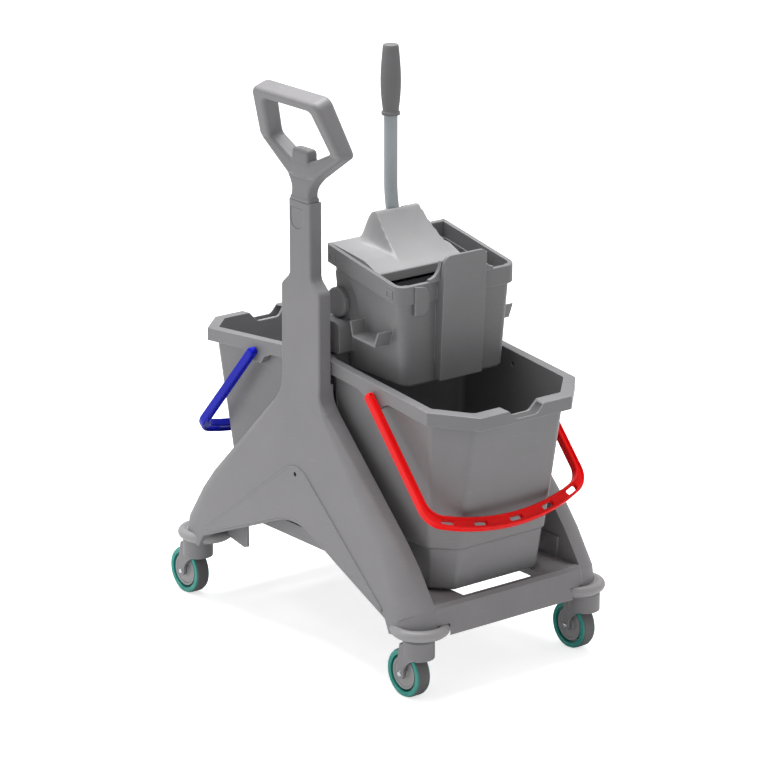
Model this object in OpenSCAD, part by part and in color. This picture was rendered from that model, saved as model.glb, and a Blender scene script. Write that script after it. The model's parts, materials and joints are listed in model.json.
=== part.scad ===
// Double mop bucket trolley: two lift-out buckets, four swivel castors, a push handle
// and a lever wringer with a geared press plate. Lengths are in millimetres.
// X runs along the trolley, Y across it and Z up. The origin is on the floor, midway
// between the four castors.

/* [Running gear] */
// Distance between the swivel axes along the trolley
wheel_base = 596; // [570:1:610]
// Distance between the swivel axes across the trolley
wheel_track = 344; // [340:1:350]
// Diameter of a wheel over its tread
wheel_d = 80; // [76:1:84]
// Width of a wheel tread
wheel_w = 25; // [20:1:27]
// Distance that the axle trails behind the swivel axis
wheel_trail = 25; // [18:1:28]
// Diameter of the castor hood
hood_d = 51; // [48:1:56]
// Diameter of the axle bolt
axle_d = 8; // [6:0.5:10]
// Diameter of the swivel stem
stem_d = 10; // [8:0.5:11]
// Radius of the round lip over each castor
lip_r = 48; // [44:1:52]
// Thickness of the round lip over each castor
lip_h = 10; // [8:1:12]

/* [Side panels] */
// Height of the underside of the panels and the base
base_z = 105; // [102:1:108]
// Distance between the inner faces of the two panels
panel_gap = 300; // [298:1:304]
// Distance of the outer face from the middle at the top of the legs
face_y = 178; // [174:1:182]
// How far the outer face moves out for each millimetre down
face_slope = 0.066; // [0.05:0.002:0.1]
// Height at which the leaning legs end and the upright column begins
crotch_z = 456; // [452:1:460]
// Height at which the straight edges of the arch between the legs would meet
arch_z = 226.5; // [220:0.5:232]
// Thickness of the raised triangle on the outer face
raised_t = 2; // [1:0.5:3]
// Diameter of the screw hole in the raised triangle
face_hole_d = 8; // [6:0.5:10]

/* [Column and push handle] */
// Width of the column over the lower part
column_w = 100; // [90:1:104]
// Width of the column above the shoulders
mast_w = 56; // [50:1:60]
// Height of the lower edge of the shoulders
shoulder_z = 608; // [590:1:620]
// Height of the top of the mast
mast_z = 752; // [740:1:760]
// Depth of the column from front to back
column_t = 23; // [20:1:26]
// Height of the lower end of the grip ring
ring_z = 789; // [785:1:795]
// Length of the grip ring from its widest place to its lower end
ring_low = 50; // [46:1:54]
// Length of the grip ring above its widest place
ring_high = 98; // [90:1:105]
// Half of the grip ring at its widest place
ring_w = 106; // [98:1:112]
// Lean of the upper part of the grip ring from upright, in degrees
ring_lean = 19.5; // [16:0.5:26]
// Depth of the bars of the grip ring
ring_t = 32; // [26:1:34]
// Width of the bars of the grip ring
ring_bar = 21; // [18:1:24]

/* [Buckets] */
// Height of the underside of a bucket
bucket_z = 157; // [155:1:160]
// Distance of the rim of a bucket from the middle at its inner end
bucket_in = 16; // [15:1:20]
// Distance of the rim of a bucket from the middle at its outer end
bucket_out = 351; // [340:1:356]
// Half of the width of a bucket over its rim
bucket_w = 151.5; // [146:0.5:152.5]
// Height of the rim line carried on to the middle of the trolley
rim_z = 497.9; // [490:0.1:500]
// Fall of the rim for each millimetre outwards
rim_slope = 0.097; // [0.08:0.001:0.11]
// Depth of the band under the rim
band_h = 22; // [18:1:26]
// Width of the rim beyond the wall
band_w = 11; // [8:1:13]
// Wall of a bucket
bucket_wall = 3; // [2.5:0.25:4]
// Half of the width of the pouring notch at the top
spout_w = 40; // [34:1:46]
// Depth of the pouring notch
spout_h = 15; // [10:1:18]

/* [Bucket handles] */
// Distance of a bucket handle's pivot from the middle of the trolley
bail_x = 157; // [150:1:165]
// Height of a bucket handle's pivot
bail_z = 461; // [455:1:465]
// Reach of a bucket handle from its pivot to the outside of the grip
bail_reach = 263; // [258:1:266]
// Width of the side arms of a bucket handle
bail_arm_w = 13; // [11:1:15]
// Width of the grip of a bucket handle
bail_grip_w = 21; // [18:1:24]
// Thickness of a bucket handle
bail_t = 15; // [12:1:17]
// Diameter of a bucket handle's pivot pin
bail_pin_d = 8; // [6:0.5:10]
// Angle of a hanging bucket handle from straight down, in degrees
bail_hang = 42; // [40:0.5:44]

/* [Wringer] */
// Height of the underside of the wringer's chute
wringer_z = 469; // [465:1:475]
// Distance of the front of the wringer from the middle
wringer_front = 181; // [176:1:186]
// Distance of the back of the wringer behind the middle
wringer_back = 5; // [3:1:8]
// Half of the width of the wringer over its rim
wringer_w = 121; // [118:1:124]
// Depth of the band round the top of the wringer
wringer_band = 30; // [26:1:34]
// Wall of the wringer
wringer_wall = 3.5; // [3:0.5:4.5]
// Height of the wringer's rim at its front edge
wringer_rim_z = 637.6; // [632:0.1:642]
// Rise of the wringer's rim for each millimetre backwards
wringer_slope = 0.19; // [0.17:0.005:0.21]
// Half of the width of the splash guard on the front
guard_w = 43; // [38:1:46]
// Height of the top of the splash guard
guard_z = 681; // [670:1:690]
// Height of the ridge of the cover's hood
hood_ridge_z = 717; // [705:1:725]
// Half of the width of the cover's hood at its ridge
hood_ridge_w = 42; // [36:1:46]
// Half of the width of the cover's hood at its foot
hood_foot_w = 56; // [50:1:60]
// Diameter of the round caps on the wringer's sides
cap_d = 49; // [44:1:52]

/* [Wringer mechanism] */
// Distance of the lever shaft from the middle
shaft_x = 15; // [14:0.5:16]
// Height of the lever shaft
shaft_z = 578; // [576:0.5:580]
// Diameter of the lever shaft
shaft_d = 20; // [18:1:24]
// Module of the gear teeth
tooth_m = 4; // [3.9:0.05:4.1]
// Teeth on a full turn of the lever's pinion
pinion_n = 17; // [17:1:17]
// Teeth on a full turn of the press plate's sector
sector_n = 61; // [61:1:61]
// Thickness of the gear sectors
gear_t = 8; // [6:1:12]
// Distance of the gear sectors from the middle
gear_y = 72; // [66:1:80]
// Play between the two pitch circles
gear_play = 0.4; // [0.3:0.05:0.8]
// Direction from the lever shaft down to the press plate's hinge, in degrees
mesh_angle = 33.3; // [32.5:0.1:34]
// Diameter of the press plate's hinge rod
rod_d = 10; // [8:1:12]
// Lean of the open press plate from upright, in degrees
press_lean = 16; // [15:0.5:17]
// Length of the press plate from its hinge to its top
press_len = 136; // [128:1:138]
// Thickness of the press plate
press_t = 5; // [4:0.5:6]

/* [Lever] */
// Diameter of the lever tube
tube_d = 22; // [20:1:24]
// Distance of the upright part of the lever tube from the middle
tube_x = 8; // [6:1:10]
// Height of the lower end of the grip
grip_z = 867; // [855:1:880]
// Height of the top of the grip
lever_top = 981; // [970:1:990]
// Largest diameter of the grip
grip_d = 33; // [30:1:36]

/* [Fits] */
// Radial clearance of a pin in its bore
pin_gap = 0.05; // [0.03:0.01:0.08]
// Clearance between faces that move past each other
run_gap = 0.5; // [0.4:0.1:1]

/* [Hidden] */
$fn = 48;
$fa = 6;
grey = [0.52, 0.51, 0.52];
dark_grey = [0.36, 0.36, 0.37];
teal = [0.17, 0.62, 0.56];
steel = [0.75, 0.76, 0.78];
red = [0.95, 0.13, 0.12];
blue = [0.15, 0.18, 0.75];
axle_z = wheel_d / 2;
castor_x = wheel_base / 2;
castor_y = wheel_track / 2;
lip_z = base_z + 19;
lip_shift = 10;
panel_in = panel_gap / 2;

// Points on an arc about a centre, from one angle to another
function arc(c, r, a, b, n) =
    [for (i = [0:n]) c + r * [cos(a + (b - a) * i / n), sin(a + (b - a) * i / n)]];
// Unit vector from one point to another
function unit(a, b) = (b - a) / norm(b - a);
// Inward normal of an edge of a counterclockwise outline
function inward(a, b) = let(d = unit(a, b)) [-d.y, d.x];
// First two coordinates of a point
function flat(p) = [p.x, p.y];
// Outline moved inwards by the same distance on every edge
function inset(p, d) =
    [for (i = [0:len(p) - 1])
        let(n = len(p), a = p[(i + n - 1) % n], b = p[i], c = p[(i + 1) % n],
            u = inward(a, b), v = inward(b, c))
        b + (u + v) * d / (1 + u * v)];
// Outline whose corners [x, y, radius] are rounded by arcs of n steps
function rounded(p, n = 4) =
    [for (i = [0:len(p) - 1])
        let(m = len(p), b = flat(p[i]), r = p[i][2],
            u = unit(b, flat(p[(i + m - 1) % m])), v = unit(b, flat(p[(i + 1) % m])),
            half = acos(max(-1, min(1, u * v))) / 2, w = (u + v) / max(norm(u + v), 1e-6),
            c = b + w * r / sin(half), s = b + u * r / tan(half), e = b + v * r / tan(half),
            a0 = atan2(s.y - c.y, s.x - c.x), a1 = atan2(e.y - c.y, e.x - c.x),
            turn = a1 - a0 > 180 ? a1 - a0 - 360 : a1 - a0 < -180 ? a1 - a0 + 360 : a1 - a0)
        each r > 0 ? arc(c, r, a0, a0 + turn, n) : [b]];
// Value that runs from a to b as t runs from 0 to 1
function mix(a, b, t) = a + (b - a) * max(0, min(1, t));

// Solid through a stack of outlines with the same number of points. The first outline may
// be folded along the line between two of its points
module loft(rings, fold = []) {
    n = len(rings[0]);
    m = len(rings);
    polyhedron(
        points = [for (r = rings) each r],
        faces = concat(
            len(fold) < 2 ? [[for (i = [0:n - 1]) i]]
                : [[for (i = [fold[0]:fold[1]]) i],
                   [for (i = [fold[1]:n + fold[0]]) i % n]],
            [for (k = [0:m - 2], i = [0:n - 1]) let(a = k * n + i, b = k * n + (i + 1) % n)
                each [[a, a + n, b + n], [a, b + n, b]]],
            [[for (i = [n - 1:-1:0]) (m - 1) * n + i]]));
}
// Everything above a plane that falls by slope along X and has height z at x = 0
module above(z, slope) {
    multmatrix([[1, 0, 0, 0], [0, 1, 0, 0], [-slope, 0, 1, z]])
        translate([-500, -500, 0]) cube([1000, 1000, 400]);
}
// Slab of height h under that plane
module slab(z, slope, h) {
    multmatrix([[1, 0, 0, 0], [0, 1, 0, 0], [-slope, 0, 1, z - h]])
        translate([-500, -500, 0]) cube([1000, 1000, h]);
}
// Outline in X and Z, extruded along Y from y0 to y1
module across(y0, y1) {
    translate([0, y1, 0]) rotate([90, 0, 0]) linear_extrude(y1 - y0) children();
}
// Copies for both ends and both sides
module four() {
    for (i = [0, 1], j = [0, 1]) mirror([i, 0, 0]) mirror([0, j, 0]) children();
}
module two_sides() {
    for (j = [0, 1]) mirror([0, j, 0]) children();
}

// Side panels
foot_r = 46;
leg_r = 28;
edge_r = 4;
arch_r = 3;
// Half outline of the legs from the arch to the foot and up to the column: x, z, corner radius,
// and 1 where the edge that starts there carries the large fillet
arch_r0 = 110;
arch_foot = [245, 126.2];
arch_fall = (arch_z - arch_foot.y) / arch_foot.x;
arch_half = [[arch_foot.x, arch_foot.y, 10, 0], [arch_foot.x, base_z, 0, 0]];
leg_half = [[316, base_z, 0, 1], [311, 150, 20, 1], [272, 208, 60, 1], [240, 244, 70, 1],
            [70, 408, 40, 1], [column_w / 2, 432, 40, 1]];
mast_half = [[column_w / 2, crotch_z, 0, 1], [column_w / 2, shoulder_z, 12, 1],
             [mast_w / 2, shoulder_z + 19, 16, 1], [mast_w / 2, mast_z, 0, 0]];
// Right half of an outline followed by its mirror image, where each point keeps its edge's mark
function closed(p) =
    concat(p, [for (i = [len(p) - 1:-1:0]) [-p[i].x, p[i].y, p[i][2], i > 0 ? p[i - 1][3] : 0]]);
panel_outline = concat([[0, arch_z, arch_r0, 0]], closed(concat(arch_half, leg_half, mast_half)));
// Radius of the fillet along an edge with a mark, at a height
function fillet_at(z, mark) =
    mark == 0 ? arch_r
    : z > 432 ? edge_r
    : z > 244 ? mix(leg_r, edge_r, pow((z - 244) / 188, 1.3))
    : mix(foot_r, leg_r, (z - 140) / 104);
// Rounded outline whose points carry the fillet radii of the edges after and before them
function rounded_edges(p, n) =
    [for (i = [0:len(p) - 1])
        let(m = len(p), a = p[(i + m - 1) % m][3], e = p[i][3], r = p[i][2],
            q = rounded([for (k = [m - 1, 0, 1]) let(s = p[(i + k) % m]) [s.x, s.y, k == 0 ? r : 0]], n))
        each r > 0 ? [for (j = [1:n + 1]) let(f = fillet_at(q[j].y, e)) [q[j].x, q[j].y, f, f]]
                   : [[p[i].x, p[i].y, fillet_at(p[i].y, e), fillet_at(p[i].y, a)]]];
// One point moved in by the fillets of the edges on both its sides
function move_in(a, b, c, da, db) =
    let(u = inward(a, b), v = inward(b, c), k = u.x * v.y - u.y * v.x)
    abs(k) > 0.4 ? b + [(da * v.y - db * u.y) / k, (db * u.x - da * v.x) / k]
                 : b + (u + v) / norm(u + v) * (da + db) / 2;
// Outer face of the near panel at a height
function face_at(z) = -face_y - face_slope * max(0, crotch_z - z);
// Body of a panel with filleted outer edges, folded where its column begins
module filleted_panel() {
    steps = 5;
    p = rounded_edges(panel_outline, 4);
    m = len(p);
    rings = [for (k = [0:steps])
        let(a = 90 * k / steps)
        [for (i = [0:m - 1])
            let(q = p[(i + m - 1) % m], s = p[(i + 1) % m], b = p[i],
                t = move_in(flat(q), flat(b), flat(s), b[3] * (1 - cos(a)), b[2] * (1 - cos(a))))
            [t.x, face_at(t.y) + max(b[3], b[2]) * (1 - sin(a)), t.y]]];
    back = [for (b = p) [b.x, 10 - panel_in, b.y]];
    loft(concat([for (k = [steps:-1:0]) [for (i = [m - 1:-1:0]) rings[k][i]]],
                [[for (i = [m - 1:-1:0]) back[i]]]),
         [for (i = [m - 1:-1:0]) if (p[i].y == crotch_z) m - 1 - i]);
}
// Everything behind the flat inner faces of the legs and of the column
module behind_panel() {
    rotate([90, 0, 90]) translate([0, 0, -400]) linear_extrude(800)
        polygon([[-panel_in, 0], [-panel_in, crotch_z], [column_t - face_y, crotch_z],
                 [column_t - face_y, 900], [0, 900], [0, 0]]);
}
// Room for the round lips and the castor stems in the feet
module foot_pockets() {
    for (s = [-1, 1]) {
        translate([s * (castor_x - lip_shift), -castor_y + lip_shift, base_z - 1])
            cylinder(r = lip_r, h = lip_z - base_z + 1);
        translate([s * castor_x, -castor_y, base_z]) cylinder(d = stem_d + 2 * pin_gap, h = 40);
    }
}
module face_hole() {
    translate([0, 0, hole_z]) rotate([90, 0, 0]) cylinder(d = face_hole_d, h = 400);
}
hole_z = 299;
facing_z = 325;
// Raised triangle between the legs, a thin plate that lies on the leaning outer face
module facing() {
    tip = arch_foot.x - 8;
    low = arch_z - arch_fall * tip + 5;
    p = rounded([[0, arch_z + 5, arch_r0], [tip, low, 3], [tip + 3, low + 6, 3], [0, facing_z, 50],
                 [-tip - 3, low + 6, 3], [-tip, low, 3]], 6);
    lean = atan(face_slope);
    translate([0, -face_y, crotch_z]) rotate([-lean, 0, 0])
        across(-raised_t, 0) polygon([for (q = p) [q.x, (q.y - crotch_z) / cos(lean)]]);
}
module near_facing() color(grey) difference() {
    facing();
    face_hole();
}
module far_facing() color(grey) mirror([0, 1, 0]) facing();
module near_panel() color(grey) difference() {
    filleted_panel();
    behind_panel();
    foot_pockets();
    face_hole();
    lock_recess();
}
module far_panel() color(grey) mirror([0, 1, 0]) difference() {
    filleted_panel();
    behind_panel();
    foot_pockets();
    translate([-column_w, -face_y - 1, crotch_z]) cube([2 * column_w, face_y, mast_z]);
}
// Outline of the sliding lock of the push handle: flat on top and rounded below
module lock_outline(d) {
    r = 16.5 + d;
    polygon(concat([[r - 6, mast_z - 12 + d], [-6 - r, mast_z - 12 + d]],
                   arc([-6, mast_z - 31], r, 180, 360, 8)));
}
module lock_recess() {
    across(-face_y - 1, -face_y + 4) lock_outline(0);
}
// Base between the panels
bar_in = 300;
bar_top = 156;
// Half of the width of a bucket at its foot
low_w = 116;
ledge_y = 80;
ledge_z = 142;
ledge_t = 12;
rib_x = 208;
centre_x = 22;
wall_z = 166;
fin_x = 187;
fin_t = 4;
// Outline across the trolley of the ribs that carry the inner ends of the buckets
centre_rib = [[-panel_in, wall_z + 24], [-panel_in, wall_z], [-low_w - 4, bucket_z - 8],
              [low_w + 4, bucket_z - 8], [panel_in, wall_z], [panel_in, wall_z + 24],
              [low_w + 6, bucket_z], [-low_w - 6, bucket_z]];
bar_profile = [[bar_in, base_z], [321, base_z], [314, bar_top - 6], [309, bar_top],
               [bar_in, bar_top]];
bar_hollow = [[bar_in + 4, base_z - 1], [316.5, base_z - 1], [310, bar_top - 5],
              [bar_in + 4, bar_top - 5]];
module base_frame() color(grey) difference() {
    base_ribs();
    two_sides() foot_pockets();
}
module base_ribs() {
    for (i = [0, 1]) mirror([i, 0, 0]) {
        difference() {
            across(-panel_in, panel_in) polygon(bar_profile);
            for (y = [-100, 0, 100]) across(y - 48, y + 48) polygon(bar_hollow);
        }
        two_sides() {
            translate([rib_x - 3, -panel_in, ledge_z]) cube([bar_in - rib_x + 4, panel_in - ledge_y, ledge_t]);
            across(-panel_in, -panel_in + fin_t)
                polygon([[fin_x, wall_z + 24], [fin_x, 112], [fin_x + 10, 109], [258, 120], [258, wall_z + 24]]);
        }
        translate([rib_x - 3, -panel_in, ledge_z]) cube([6, panel_gap, bucket_z - ledge_z]);
        translate([centre_x - 3, 0, 0]) rotate([90, 0, 90]) linear_extrude(6) polygon(centre_rib);
    }
    two_sides() translate([-258, -panel_in, wall_z]) cube([516, fin_t, 24]);
}
module castor_lips() color([0.6, 0.6, 0.61]) {
    four() difference() {
        translate([castor_x - lip_shift, castor_y - lip_shift, lip_z]) lip_disc();
        translate([castor_x, castor_y, 0]) cylinder(d = stem_d + 2 * pin_gap, h = 200);
    }
}
module lip_disc() {
    rotate_extrude() polygon(concat([[0, base_z - lip_z], [lip_r - 14, base_z - lip_z],
        [lip_r - 8, -lip_h], [lip_r - 4, -lip_h]], arc([lip_r - 5, -5], 5, -70, 90, 6), [[0, 0]]));
}

// Castors: the swivel axis of each stands at x = 0, y = 0 of its module
fork_top = base_z - run_gap;
cheek_in = wheel_w / 2 + 1;
cheek_out = cheek_in + 5.5;
wheel_room = wheel_d / 2 + 4;
module at_castor(sx, sy) {
    translate([sx * castor_x, sy * castor_y, 0]) children();
}
module fork() color(grey) difference() {
    union() {
        translate([0, 0, hood_z]) cylinder(d = hood_d, h = fork_top - hood_z - 3);
        translate([0, 0, fork_top - 3]) cylinder(d1 = hood_d, d2 = hood_d - 5, h = 3);
        cylinder_stem();
        intersection() {
            across(-cheek_out, cheek_out) polygon(cheek_points);
            union() {
                cylinder(d = hood_d, h = 100);
                translate([-60, -cheek_out, 0]) cube([60, 2 * cheek_out, 100]);
            }
        }
    }
    translate([-wheel_trail, 0, axle_z]) rotate([90, 0, 0])
        cylinder(r = wheel_room, h = 2 * cheek_in, center = true);
    translate([-wheel_trail, -cheek_in, 0]) cube([80, 2 * cheek_in, axle_z]);
    translate([-wheel_trail, 0, axle_z]) rotate([90, 0, 0])
        cylinder(d = axle_d + 2 * pin_gap, h = 80, center = true);
}
hood_z = 73;
arm_r = 9;
// Outline of a fork cheek: an arm down to the axle with a hollow edge over the tread
cheek_points = concat(arc([-wheel_trail, axle_z], arm_r, 180, 350, 8),
    arc([20, 32], 40, 155, 90, 8), [[hood_d / 2, hood_z - 1], [hood_d / 2, fork_top - 12],
    [-hood_d / 2, fork_top - 12], [-hood_d / 2 - 4, hood_z]]);
module cylinder_stem() {
    translate([0, 0, fork_top - 1]) cylinder(d = stem_d, h = 38);
}
module axle_bolt() color(steel) translate([-wheel_trail, 0, axle_z]) rotate([90, 0, 0]) {
    cylinder(d = axle_d, h = 2 * cheek_out + 1, center = true);
    for (s = [-1, 1]) translate([0, 0, s * (cheek_out + 1.5)])
        cylinder(d = axle_d + 4, h = 3, center = true, $fn = s < 0 ? 6 : 48);
}
module in_wheel() translate([-wheel_trail, 0, axle_z]) rotate([90, 0, 0]) children();
hub_r = 27;
ring_r = 33;
hub_w = wheel_w - 3;
module wheel_hub() color([0.6, 0.6, 0.61]) in_wheel() difference() {
    rotate_extrude() polygon([[0, -hub_w / 2 - 1], [9, -hub_w / 2 - 1], [11, -hub_w / 2 + 2],
        [hub_r - 5, -hub_w / 2 + 2], [hub_r - 3, -hub_w / 2], [hub_r, -hub_w / 2], [hub_r, hub_w / 2],
        [hub_r - 3, hub_w / 2], [hub_r - 5, hub_w / 2 - 2], [11, hub_w / 2 - 2], [9, hub_w / 2 + 1],
        [0, hub_w / 2 + 1]]);
    cylinder(d = axle_d + 2 * pin_gap, h = 60, center = true);
}
module wheel_ring() color(teal) in_wheel() rotate_extrude()
    polygon([[hub_r, -hub_w / 2 - 0.5], [hub_r + 2, -hub_w / 2 - 0.5], [hub_r + 2.5, -hub_w / 2 + 0.7],
        [hub_r + 3.5, -hub_w / 2 + 0.7], [hub_r + 4, -hub_w / 2 - 1], [ring_r, -hub_w / 2 - 0.5],
        [ring_r, hub_w / 2 + 0.5], [hub_r + 4, hub_w / 2 + 1], [hub_r + 3.5, hub_w / 2 - 0.7],
        [hub_r + 2.5, hub_w / 2 - 0.7], [hub_r + 2, hub_w / 2 + 0.5], [hub_r, hub_w / 2 + 0.5]]);
module wheel_tyre() color(dark_grey) in_wheel() rotate_extrude()
    polygon(concat([[ring_r, wheel_w / 2], [ring_r, -wheel_w / 2]],
        arc([wheel_d / 2 - 4, -wheel_w / 2 + 4], 4, -90, 0, 4),
        arc([wheel_d / 2 - 4, wheel_w / 2 - 4], 4, 0, 90, 4)));

// Push handle: the grip ring is upright up to its widest place and leans forward above it
neck_w = 42;
ring_top_w = ring_w - 21;
ring_top = ring_low + ring_high;
ring_outer = rounded([[33, 0, 8], [ring_w, ring_low, 10], [ring_top_w, ring_top, 13],
    [-ring_top_w, ring_top, 13], [-ring_w, ring_low, 10], [-33, 0, 8]], 4);
ring_inner = rounded([[24, 27, 5], [ring_w - ring_bar - 3, ring_low + 3, 7],
    [ring_top_w - ring_bar - 2, ring_top - ring_bar + 6, 8],
    [-ring_top_w + ring_bar + 2, ring_top - ring_bar + 6, 8],
    [-ring_w + ring_bar + 3, ring_low + 3, 7], [-24, 27, 5]], 4);
// Point of the grip ring, bent forward where it lies above the widest place
function bent(p) =
    let(h = max(0, p.z - ring_low))
    [p.x, p.y - h * sin(ring_lean), p.z - h * (1 - cos(ring_lean)) + p.y * sin(ring_lean) * min(1, h / 30)];
// Closed bent bar between two outlines with the same number of points, with rounded edges
module rounded_bar(outer, inner, t, r) {
    n = len(outer);
    steps = 3;
    section = [for (i = [0:n - 1])
        let(o = outer[i], q = inner[i], d = unit(q, o), w = norm(o - q),
            box = rounded([[0, -t / 2, r], [w, -t / 2, r], [w, t / 2, r], [0, t / 2, r]], steps))
        [for (p = box) bent([q.x + d.x * p.x, p.y, q.y + d.y * p.x])]];
    m = len(section[0]);
    polyhedron(
        points = [for (c = section) each c],
        faces = [for (i = [0:n - 1], j = [0:m - 1])
            let(k = (i + 1) % n, l = (j + 1) % m, a = i * m + j, b = i * m + l, c = k * m + l, d = k * m + j)
            each [[a, c, b], [a, d, c]]]);
}
module push_handle() color(grey) {
    translate([0, -face_y + 1 + ring_t / 2, ring_z]) rounded_bar(ring_outer, ring_inner, ring_t, 6);
    translate([0, -face_y + column_t / 2, 0]) {
        across(-column_t / 2 + 1, column_t / 2 - 1)
            polygon(rounded([[-neck_w / 2, mast_z, 0], [neck_w / 2, mast_z, 0],
                [neck_w / 2, ring_z + 47, 3], [-neck_w / 2, ring_z + 47, 3]], 3));
        across(-column_t / 2, column_t / 2)
            translate([-neck_w / 2 - 4, mast_z]) square([neck_w + 8, 6]);
    }
}
module handle_lock() color(grey)
    across(-face_y + 0.6, -face_y + 4) lock_outline(-0.5);
module handle_screws() color(steel) {
    for (z = [690, 730]) translate([0, -face_y + column_t, z]) rotate([-90, 0, 0]) cylinder(d = 9, h = 2);
}
// Bridge between the buckets, with the two posts on which the wringer hangs
post_back = -8;
post_front = 13;
post_in = 118;
post_top = 548;
module wringer_bridge() color(grey) {
    translate([-12, -panel_in, 430]) cube([24, panel_gap, 40]);
    two_sides() translate([post_back, -panel_in, 0]) rotate([90, 0, 90]) linear_extrude(post_front - post_back)
        polygon([[0, 430], [panel_in - post_in, 430], [panel_in - post_in, post_top], [6, post_top],
                 [0, post_top - 6]]);
}

// Buckets: the red one stands at positive X
chamfer_x = 60;
chamfer_y = 59;
step_z = 230;
// Outline corners of the rim
rim_corners = [[bucket_in, -bucket_w], [bucket_out - chamfer_x, -bucket_w],
    [bucket_out, -bucket_w + chamfer_y], [bucket_out, bucket_w - chamfer_y],
    [bucket_out - chamfer_x, bucket_w], [bucket_in, bucket_w]];
// Outline corners of the wall at a height
function wall_corners(z) =
    let(t = (z - bucket_z) / (rim_z - bucket_z),
        w = mix(low_w, bucket_w - band_w, t), x = mix(282, bucket_out - band_w, t),
        ty = mix(85, 90, t), tx = mix(33, 52, t), xi = mix(bucket_in + 22, bucket_in + band_w, t))
    [[xi, -w], [x - tx, -w], [x, -ty], [x, ty], [x - tx, w], [xi, w]];
function wall_ring(z, d, r) =
    [for (p = rounded([for (q = inset(wall_corners(z), d)) [q.x, q.y, max(r - d, 3)]], 3)) [p.x, p.y, z]];
module bucket_outer() {
    loft([wall_ring(bucket_z, 8, 14), wall_ring(bucket_z + 2, 5.5, 14), wall_ring(bucket_z + 6, 3.5, 14),
          wall_ring(step_z - 2, 3.5, 14), wall_ring(step_z + 2, 0, 14), wall_ring(rim_z + 2, 0, 14)]);
}
module bucket_inner() {
    w = bucket_wall;
    loft([wall_ring(bucket_z + w, 8 + w, 14), wall_ring(bucket_z + w + 4, 3.5 + w, 14),
          wall_ring(step_z - 2, 3.5 + w, 14), wall_ring(step_z + 2, w, 14), wall_ring(rim_z + 20, w, 14)]);
}
module bucket() {
    difference() {
        union() {
            intersection() {
                bucket_outer();
                slab(rim_z, rim_slope, 600);
            }
            difference() {
                intersection() {
                    translate([0, 0, 400]) linear_extrude(200) polygon(inset(rim_corners, 0));
                    slab(rim_z, rim_slope, band_h);
                }
                difference() {
                    intersection() {
                        translate([0, 0, 400]) linear_extrude(200) polygon(inset(rim_corners, 2.5));
                        slab(rim_z - 3, rim_slope, band_h);
                    }
                    bucket_outer();
                }
            }
            two_sides() bail_ear();
        }
        bucket_inner();
        spout_cut();
        translate([bail_x, 0, bail_z]) rotate([90, 0, 0])
            cylinder(d = bail_pin_d + 2 * pin_gap, h = 400, center = true);
    }
}
module bail_ear() {
    across(-bucket_w, -bucket_w + band_w + 1)
        polygon([[bail_x - 62, bail_z + 14], [bail_x - 24, bail_z - 4], [bail_x - 14, bail_z - 17],
                 [bail_x + 14, bail_z - 17], [bail_x + 24, bail_z - 8], [bail_x + 62, bail_z + 4]]);
}
module spout_cut() {
    top = rim_z - rim_slope * bucket_out;
    translate([bucket_out - 40, 0, 0]) rotate([90, 0, 90]) linear_extrude(80)
        polygon(rounded([[-spout_w, top + 6, 0], [-spout_w + 2, top + 3, 0], [-22, top - spout_h, 12],
            [22, top - spout_h, 12], [spout_w - 2, top + 3, 0], [spout_w, top + 6, 0],
            [spout_w, top + 40, 0], [-spout_w, top + 40, 0]], 4));
}
module red_bucket() color(grey) bucket();
module blue_bucket() color(grey) mirror([1, 0, 0]) bucket();

// Bucket handles, drawn flat with the pivots on the Y axis and the grip at positive X
bail_in_y = bucket_w + run_gap;
bail_out_y = bail_in_y + bail_arm_w;
grip_bow = 390;
function bow(y, r, reach) = reach - y * y / (2 * r);
bail_outer_pts = rounded(concat([[-9, -bail_out_y, 8], [bow(bail_out_y, grip_bow, bail_reach), -bail_out_y, 42]],
    [for (y = [-110:22:110]) [bow(y, grip_bow, bail_reach), y, 0]],
    [[bow(bail_out_y, grip_bow, bail_reach), bail_out_y, 42], [-9, bail_out_y, 8]]), 5);
bail_inner_reach = bail_reach - bail_grip_w;
bail_inner_pts = rounded(concat([[-20, -bail_in_y, 0], [bow(bail_in_y, grip_bow, bail_inner_reach), -bail_in_y, 30]],
    [for (y = [-110:22:110]) [bow(y, grip_bow, bail_inner_reach), y, 0]],
    [[bow(bail_in_y, grip_bow, bail_inner_reach), bail_in_y, 30], [-20, bail_in_y, 0]]), 5);
module bail_plate(t) {
    translate([0, 0, -t / 2]) linear_extrude(t) difference() {
        polygon(bail_outer_pts);
        polygon(bail_inner_pts);
    }
}
module bail() {
    difference() {
        union() {
            bail_plate(bail_t);
            two_sides() translate([0, -bail_out_y + 1, 0]) rotate([-90, 0, 0])
                cylinder(d = bail_pin_d, h = bail_arm_w + band_w - 1);
        }
        for (s = [-1, 1]) translate([0, 0, s * bail_t / 2]) linear_extrude(7, center = true) difference() {
            polygon(inset(bail_outer_pts, 3.2));
            polygon(inset(bail_inner_pts, -3.2));
            translate([-20, -200]) square([34, 400]);
        }
        for (y = [-127, -69, 0, 69, 127]) translate([bow(y, grip_bow, bail_reach - bail_grip_w / 2), y, 0])
            rotate([0, 0, atan(-y / grip_bow) * -1]) cube([9, 26, 60], center = true);
    }
}
module hang_bail() {
    translate([bail_x, 0, bail_z]) rotate([0, 90 - bail_hang, 0]) children();
}
module red_bail() color(red) hang_bail() bail();
module blue_bail() color(blue) mirror([1, 0, 0]) hang_bail() bail();

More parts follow.
